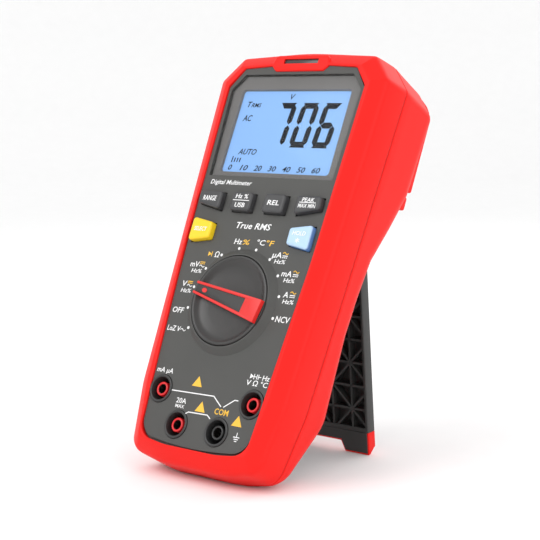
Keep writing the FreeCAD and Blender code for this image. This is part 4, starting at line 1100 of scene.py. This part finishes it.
# the collar, whose dark inner wall lining the well is painted shadow, and the well with its post,
# each as a closed run of (radius, depth) corners
COLLAR_WITH_SHADOW_LINING = [(4.78, 16.5), (4.78, -0.1), (4.9, -0.36), (5.15, -0.5), (5.6, -0.5), (5.86, -0.38), (5.98, -0.1),
          (5.98, 1.2), (5.1, 1.3), (5.1, 16.5), (4.78, 16.5)]
WELL = [(5.9, 1.4), (5.15, 1.4), (5.15, 16.9), (3.0, 17.0), (3.0, 1.0), (2.85, 0.72), (2.55, 0.6),
        (2.2, 0.64), (2.04, 0.8), (2.04, 0.98), (2.62, 0.98), (2.62, 17.6), (0.0, 17.6), (0.0, 18.6),
        (5.7, 18.6), (5.9, 18.4), (5.9, 1.4)]
SOCKET_STEPS = 64
# charcoal for the collar's rim, and painted shadow where the collar's inner wall lines the well
COLLAR_DARK_WITH_SHADOW_LINING = moulded("collar_charcoal_with_shadow_lining", (0.016, 0.016, 0.016), (0.024, 0.024, 0.024), rough=0.42,
                      depth=SMOOTH)
SOCKET_RED = moulded("socket_red", (0.66, 0.010, 0.014), (0.74, 0.016, 0.020), rough=0.3, depth=SMOOTH)
SOCKET_BLACK = moulded("socket_black", (0.012, 0.012, 0.012), (0.02, 0.02, 0.02), rough=0.3, depth=SMOOTH)


def plated(name, dark, light, rough=0.25):
    """Plated or drawn metal: a fine brushed grain in roughness and colour."""
    shade = Shade(name)
    cloud = shade.noise(150.0, 3.0)
    fine = shade.noise(2600.0, 2.0)
    colour = shade.blend(cloud, rgb(*dark), rgb(*light))
    roughness = fine * 0.14 + cloud * 0.08 + (rough - 0.08)
    normal = shade.bump(fine, 0.1, SMOOTH)
    return shade.set(colour=colour, roughness=roughness, metallic=1.0, normal=normal)


TIN = plated("plated_tube", (0.16, 0.15, 0.14), (0.24, 0.22, 0.20), rough=0.35)
for name, spot in SOCKETS.items():
    look, finish = (SOCKET_BLACK, "black_jack") if name == "common" else (SOCKET_RED, "red_jack")
    collar_with_shadow_lining = turned(COLLAR_WITH_SHADOW_LINING, spot, SOCKET_STEPS)
    well = turned(WELL, spot, SOCKET_STEPS)
    # the collar piece carries the painted shadow down the well's wall
    finish_piece(name + "_collar", collar_with_shadow_lining, COLLAR_DARK_WITH_SHADOW_LINING, "housing")
    finish_piece(name + "_well", well, look, "housing", (name + "_jack_body",), smooth=45.0)
    dress(TIN, name + "_jack_contact")

# ------------------------------------------------------------------ tilt stand
# A moulded leaf that swings out of the back on two pins.  Its inner side is stiffened by a square
# grid of thin ribs with crossing diagonals, and its outer side is smooth.

STAND_HALF_WIDE = 28.5
BARREL_RADIUS = 3.55
PIN_RADIUS = 1.5
PIN_LONG = 3.0
HINGE = Vector((0.0, 31.0, 118.0))
OPEN = math.radians(29.8)
SWING = LEAN @ Matrix.Translation(HINGE) @ Matrix.Rotation(OPEN, 4, "X") @ Matrix.Translation(-HINGE)
STAND_DARK = moulded("stand_charcoal", (0.021, 0.021, 0.020), (0.030, 0.030, 0.029), rough=0.45,
                     depth=0.00002)
STAND_OUTLINE = [(STAND_HALF_WIDE, 25.95, 0.3), (STAND_HALF_WIDE, 118.5, 1.0)]
HOLLOW = [(27.3, 28.0, 0.8), (27.3, 111.0, 0.8)]
HOLLOW_FLOOR = 33.2
RIB_FACE = 29.7
RIB_PITCH = 10.2
RIB_WIDE = 0.95
RIB_START = 25.8
STAR_RADIUS = 1.25
FOOT_LOW = 16.0
FOOT = [(11.0, 20.6, 0.5), (13.4, 20.6, 0.8), (15.4, FOOT_LOW, 0.8), (STAND_HALF_WIDE, FOOT_LOW, 1.0),
        (STAND_HALF_WIDE, 26.0, 0.3)]


def clipped(point, along, low, high):
    """The stretch of a line that lies inside a rectangle, or None."""
    first, last = -1e9, 1e9
    for axis in (0, 1):
        if abs(along[axis]) < 1e-9:
            if not low[axis] <= point[axis] <= high[axis]:
                return None
            continue
        ends = sorted((edge[axis] - point[axis]) / along[axis] for edge in (low, high))
        first, last = max(first, ends[0]), min(last, ends[1])
    if last - first < 1.0:
        return None
    return point + along * first, point + along * last


def add_rib(bm, start, end):
    middle = (start + end) / 2
    half = (end - start).length / 2
    made = add_box(bm, (-half, half), (RIB_FACE, HOLLOW_FLOOR + 0.2), (-RIB_WIDE / 2, RIB_WIDE / 2))
    turn = math.atan2(end.y - start.y, end.x - start.x)
    place = Matrix.Translation((middle.x, 0.0, middle.y)) @ Matrix.Rotation(-turn, 4, "Y")
    bmesh.ops.transform(bm, matrix=place, verts=made)


def stand_ribs():
    """A square grid, diagonals through every other crossing, and a small boss where they meet."""
    bm = bmesh.new()
    low = Vector((-HOLLOW[0][0], HOLLOW[0][1]))
    high = Vector(HOLLOW[1][:2])
    columns = int(high.x / RIB_PITCH)
    rows = int((high.y - RIB_START) / RIB_PITCH)
    origin = Vector((0.0, RIB_START))
    lines = [(origin + Vector((c * RIB_PITCH, 0)), Vector((0, 1))) for c in range(-columns, columns + 1)]
    lines += [(origin + Vector((0, r * RIB_PITCH)), Vector((1, 0))) for r in range(1, rows + 1)]
    for step in range(-columns - rows - 1, columns + rows + 2, 2):
        for lean in (1, -1):
            lines.append((origin + Vector((step * RIB_PITCH, 0)), Vector((lean, 1)).normalized()))
    for point, along in lines:
        stretch = clipped(point, along, low, high)
        if stretch:
            add_rib(bm, *stretch)
    for column in range(-columns, columns + 1):
        for row in range(1, rows + 1):
            if (column + row) % 2 == 1:
                spot = (column * RIB_PITCH, RIB_START + row * RIB_PITCH)
                add_rod(bm, "y", spot, RIB_FACE - 0.1, HOLLOW_FLOOR, STAR_RADIUS, sides=16)
    return bm


def stand_leaf():
    bm = bmesh.new()
    sections = [(STAND_OUTLINE, 0.7, 34.6), (STAND_OUTLINE, 0.2, 34.4), (STAND_OUTLINE, 0.0, 33.9),
                (STAND_OUTLINE, 0.0, 29.7), (STAND_OUTLINE, 0.3, 29.4), (HOLLOW, 0.0, 29.4),
                (HOLLOW, 0.0, HOLLOW_FLOOR)]
    cap_rings(bm, grow_rings(bm, [flat_ring(*section) for section in sections]))
    reach = STAND_HALF_WIDE + PIN_LONG
    add_rod(bm, "x", (HINGE.y, HINGE.z), -STAND_HALF_WIDE, STAND_HALF_WIDE, BARREL_RADIUS, sides=40)
    add_rod(bm, "x", (HINGE.y, HINGE.z), -reach, reach, PIN_RADIUS)
    return bm


def foot_plate():
    """The dark inner skin of the two feet, which lies inside the red rubber."""
    plate = FOOT[:-1] + [(STAND_HALF_WIDE, 26.8, 0.3)]
    return build_up(mirrored(plate), [(0.75, 30.6), (0.75, 29.6), (0.95, 29.4)], 4)


finish_piece("tilt_stand_leaf", stand_leaf(), STAND_DARK, "stand", ("tilt_stand",),
             place=SWING)
finish_piece("tilt_stand_ribs", stand_ribs(), STAND_DARK, "stand", place=SWING)
finish_piece("tilt_stand_feet", foot_plate(), STAND_DARK, "stand", place=SWING)


def stand_end():
    """The rubber end, whose foot is cut at a slant behind so that it stands flat on the table."""
    sections = [(0.6, 29.75), (0.2, 29.8), (0.0, 30.1), (0.0, 31.0), (0.0, 34.2), (0.5, 34.6)]
    bm = build_up(mirrored(FOOT), sections, 4)
    for vert in bm.verts:
        vert.co.z = max(vert.co.z, FOOT_LOW + max(0.0, vert.co.y - HINGE.y))
    return bm


finish_piece("stand_end_rubber", stand_end(), RUBBER, "stand", ("stand_end_cap",),
             place=SWING)

# ------------------------------------------------------------------ battery door and screws
# The door over the battery is a flat grey cover with finger grooves, held by two cross-head screws
# at its top.  Four longer screws in recesses hold the halves of the case together.

DOOR = [(26.75, 132.9, 2.2), (26.75, 170.5, 2.2)]
DOOR_SCREWS = [(-18.8, 166.8), (18.8, 166.8)]
SCREW_HOLE = [(0.0, 40.0), (1.6, 40.0), (1.6, 41.2), (3.0, 41.2), (3.0, 44.0), (0.0, 44.0)]
GROOVES = 5
GROOVE_START = 137.0
GROOVE_PITCH = 2.2
GROOVE_WIDE = 0.9
SCREW_STEEL = plated("zinc_screw", (0.50, 0.50, 0.48), (0.62, 0.62, 0.60), rough=0.3)


def battery_door():
    bm = build_up(mirrored(DOOR), [(0.0, 40.85), (0.0, 42.6), (0.15, 42.95), (0.5, 43.15)], 5)
    grooves = bmesh.new()
    for number in range(GROOVES):
        z = GROOVE_START + GROOVE_PITCH * number
        add_box(grooves, (-9.0, 9.0), (42.6, 44.0), (z, z + GROOVE_WIDE))
    bm = carve(bm, grooves)
    for spot in DOOR_SCREWS:
        bm = carve(bm, turned(SCREW_HOLE, spot, 32))
    return bm


finish_piece("battery_door", battery_door(), CASE_GREY, "housing", ("battery_cover",),
             smooth=40.0)
dress(SCREW_STEEL, "battery_cover_screws", "case_screws", "board_screws", "detent_balls")

# ------------------------------------------------------------------ inside the case
# The board with its chips, buzzer, switches, fuses in sprung clips, shunt and battery.  Nothing here
# shows from outside, so the shapes stay plain and each gets the finish of its real material.


def board_green():
    """Green solder mask over a faint grid of copper tracks."""
    shade = Shade("solder_mask")
    values = {"Vector": shade.spot, "Scale": 420.0}
    cells = shade.add("ShaderNodeTexVoronoi", {"distance": "MANHATTAN"}, values, "Distance")
    tracks = cells.math("GREATER_THAN", 0.52)
    colour = shade.blend(tracks, rgb(0.012, 0.12, 0.045), rgb(0.03, 0.22, 0.09))
    return shade.set(colour=colour, roughness=tracks * 0.1 + 0.3)


def fuse_tube(name, half, cap):
    """White ceramic in the middle and nickel caps at both ends, told apart by the place along x."""
    shade = Shade(name)
    metal = shade.along_x().math("ABSOLUTE").math("GREATER_THAN", (half - cap) * MM)
    colour = shade.blend(metal, rgb(0.78, 0.76, 0.70), rgb(0.55, 0.54, 0.52))
    return shade.set(colour=colour, roughness=metal * -0.2 + 0.45, metallic=metal)


CHIP = moulded("chip_epoxy", (0.014, 0.014, 0.014), (0.024, 0.024, 0.024), rough=0.5)
SPRUNG = plated("sprung_brass", (0.62, 0.46, 0.20), (0.72, 0.56, 0.27))
WRAP = moulded("battery_wrap", (0.035, 0.035, 0.042), (0.055, 0.055, 0.065), rough=0.3, depth=SMOOTH)
dress(board_green(), "main_board")
dress(CHIP, "board_chips", "buzzer", "key_switches", "battery_snap")
dress(fuse_tube("fuse_small_tube", 16.0, 6.0), "fuse_small")
dress(fuse_tube("fuse_large_tube", 19.0, 6.0), "fuse_large")
dress(SPRUNG, "fuse_clips", "current_shunt", "rotor_contacts")
dress(WRAP, "battery")
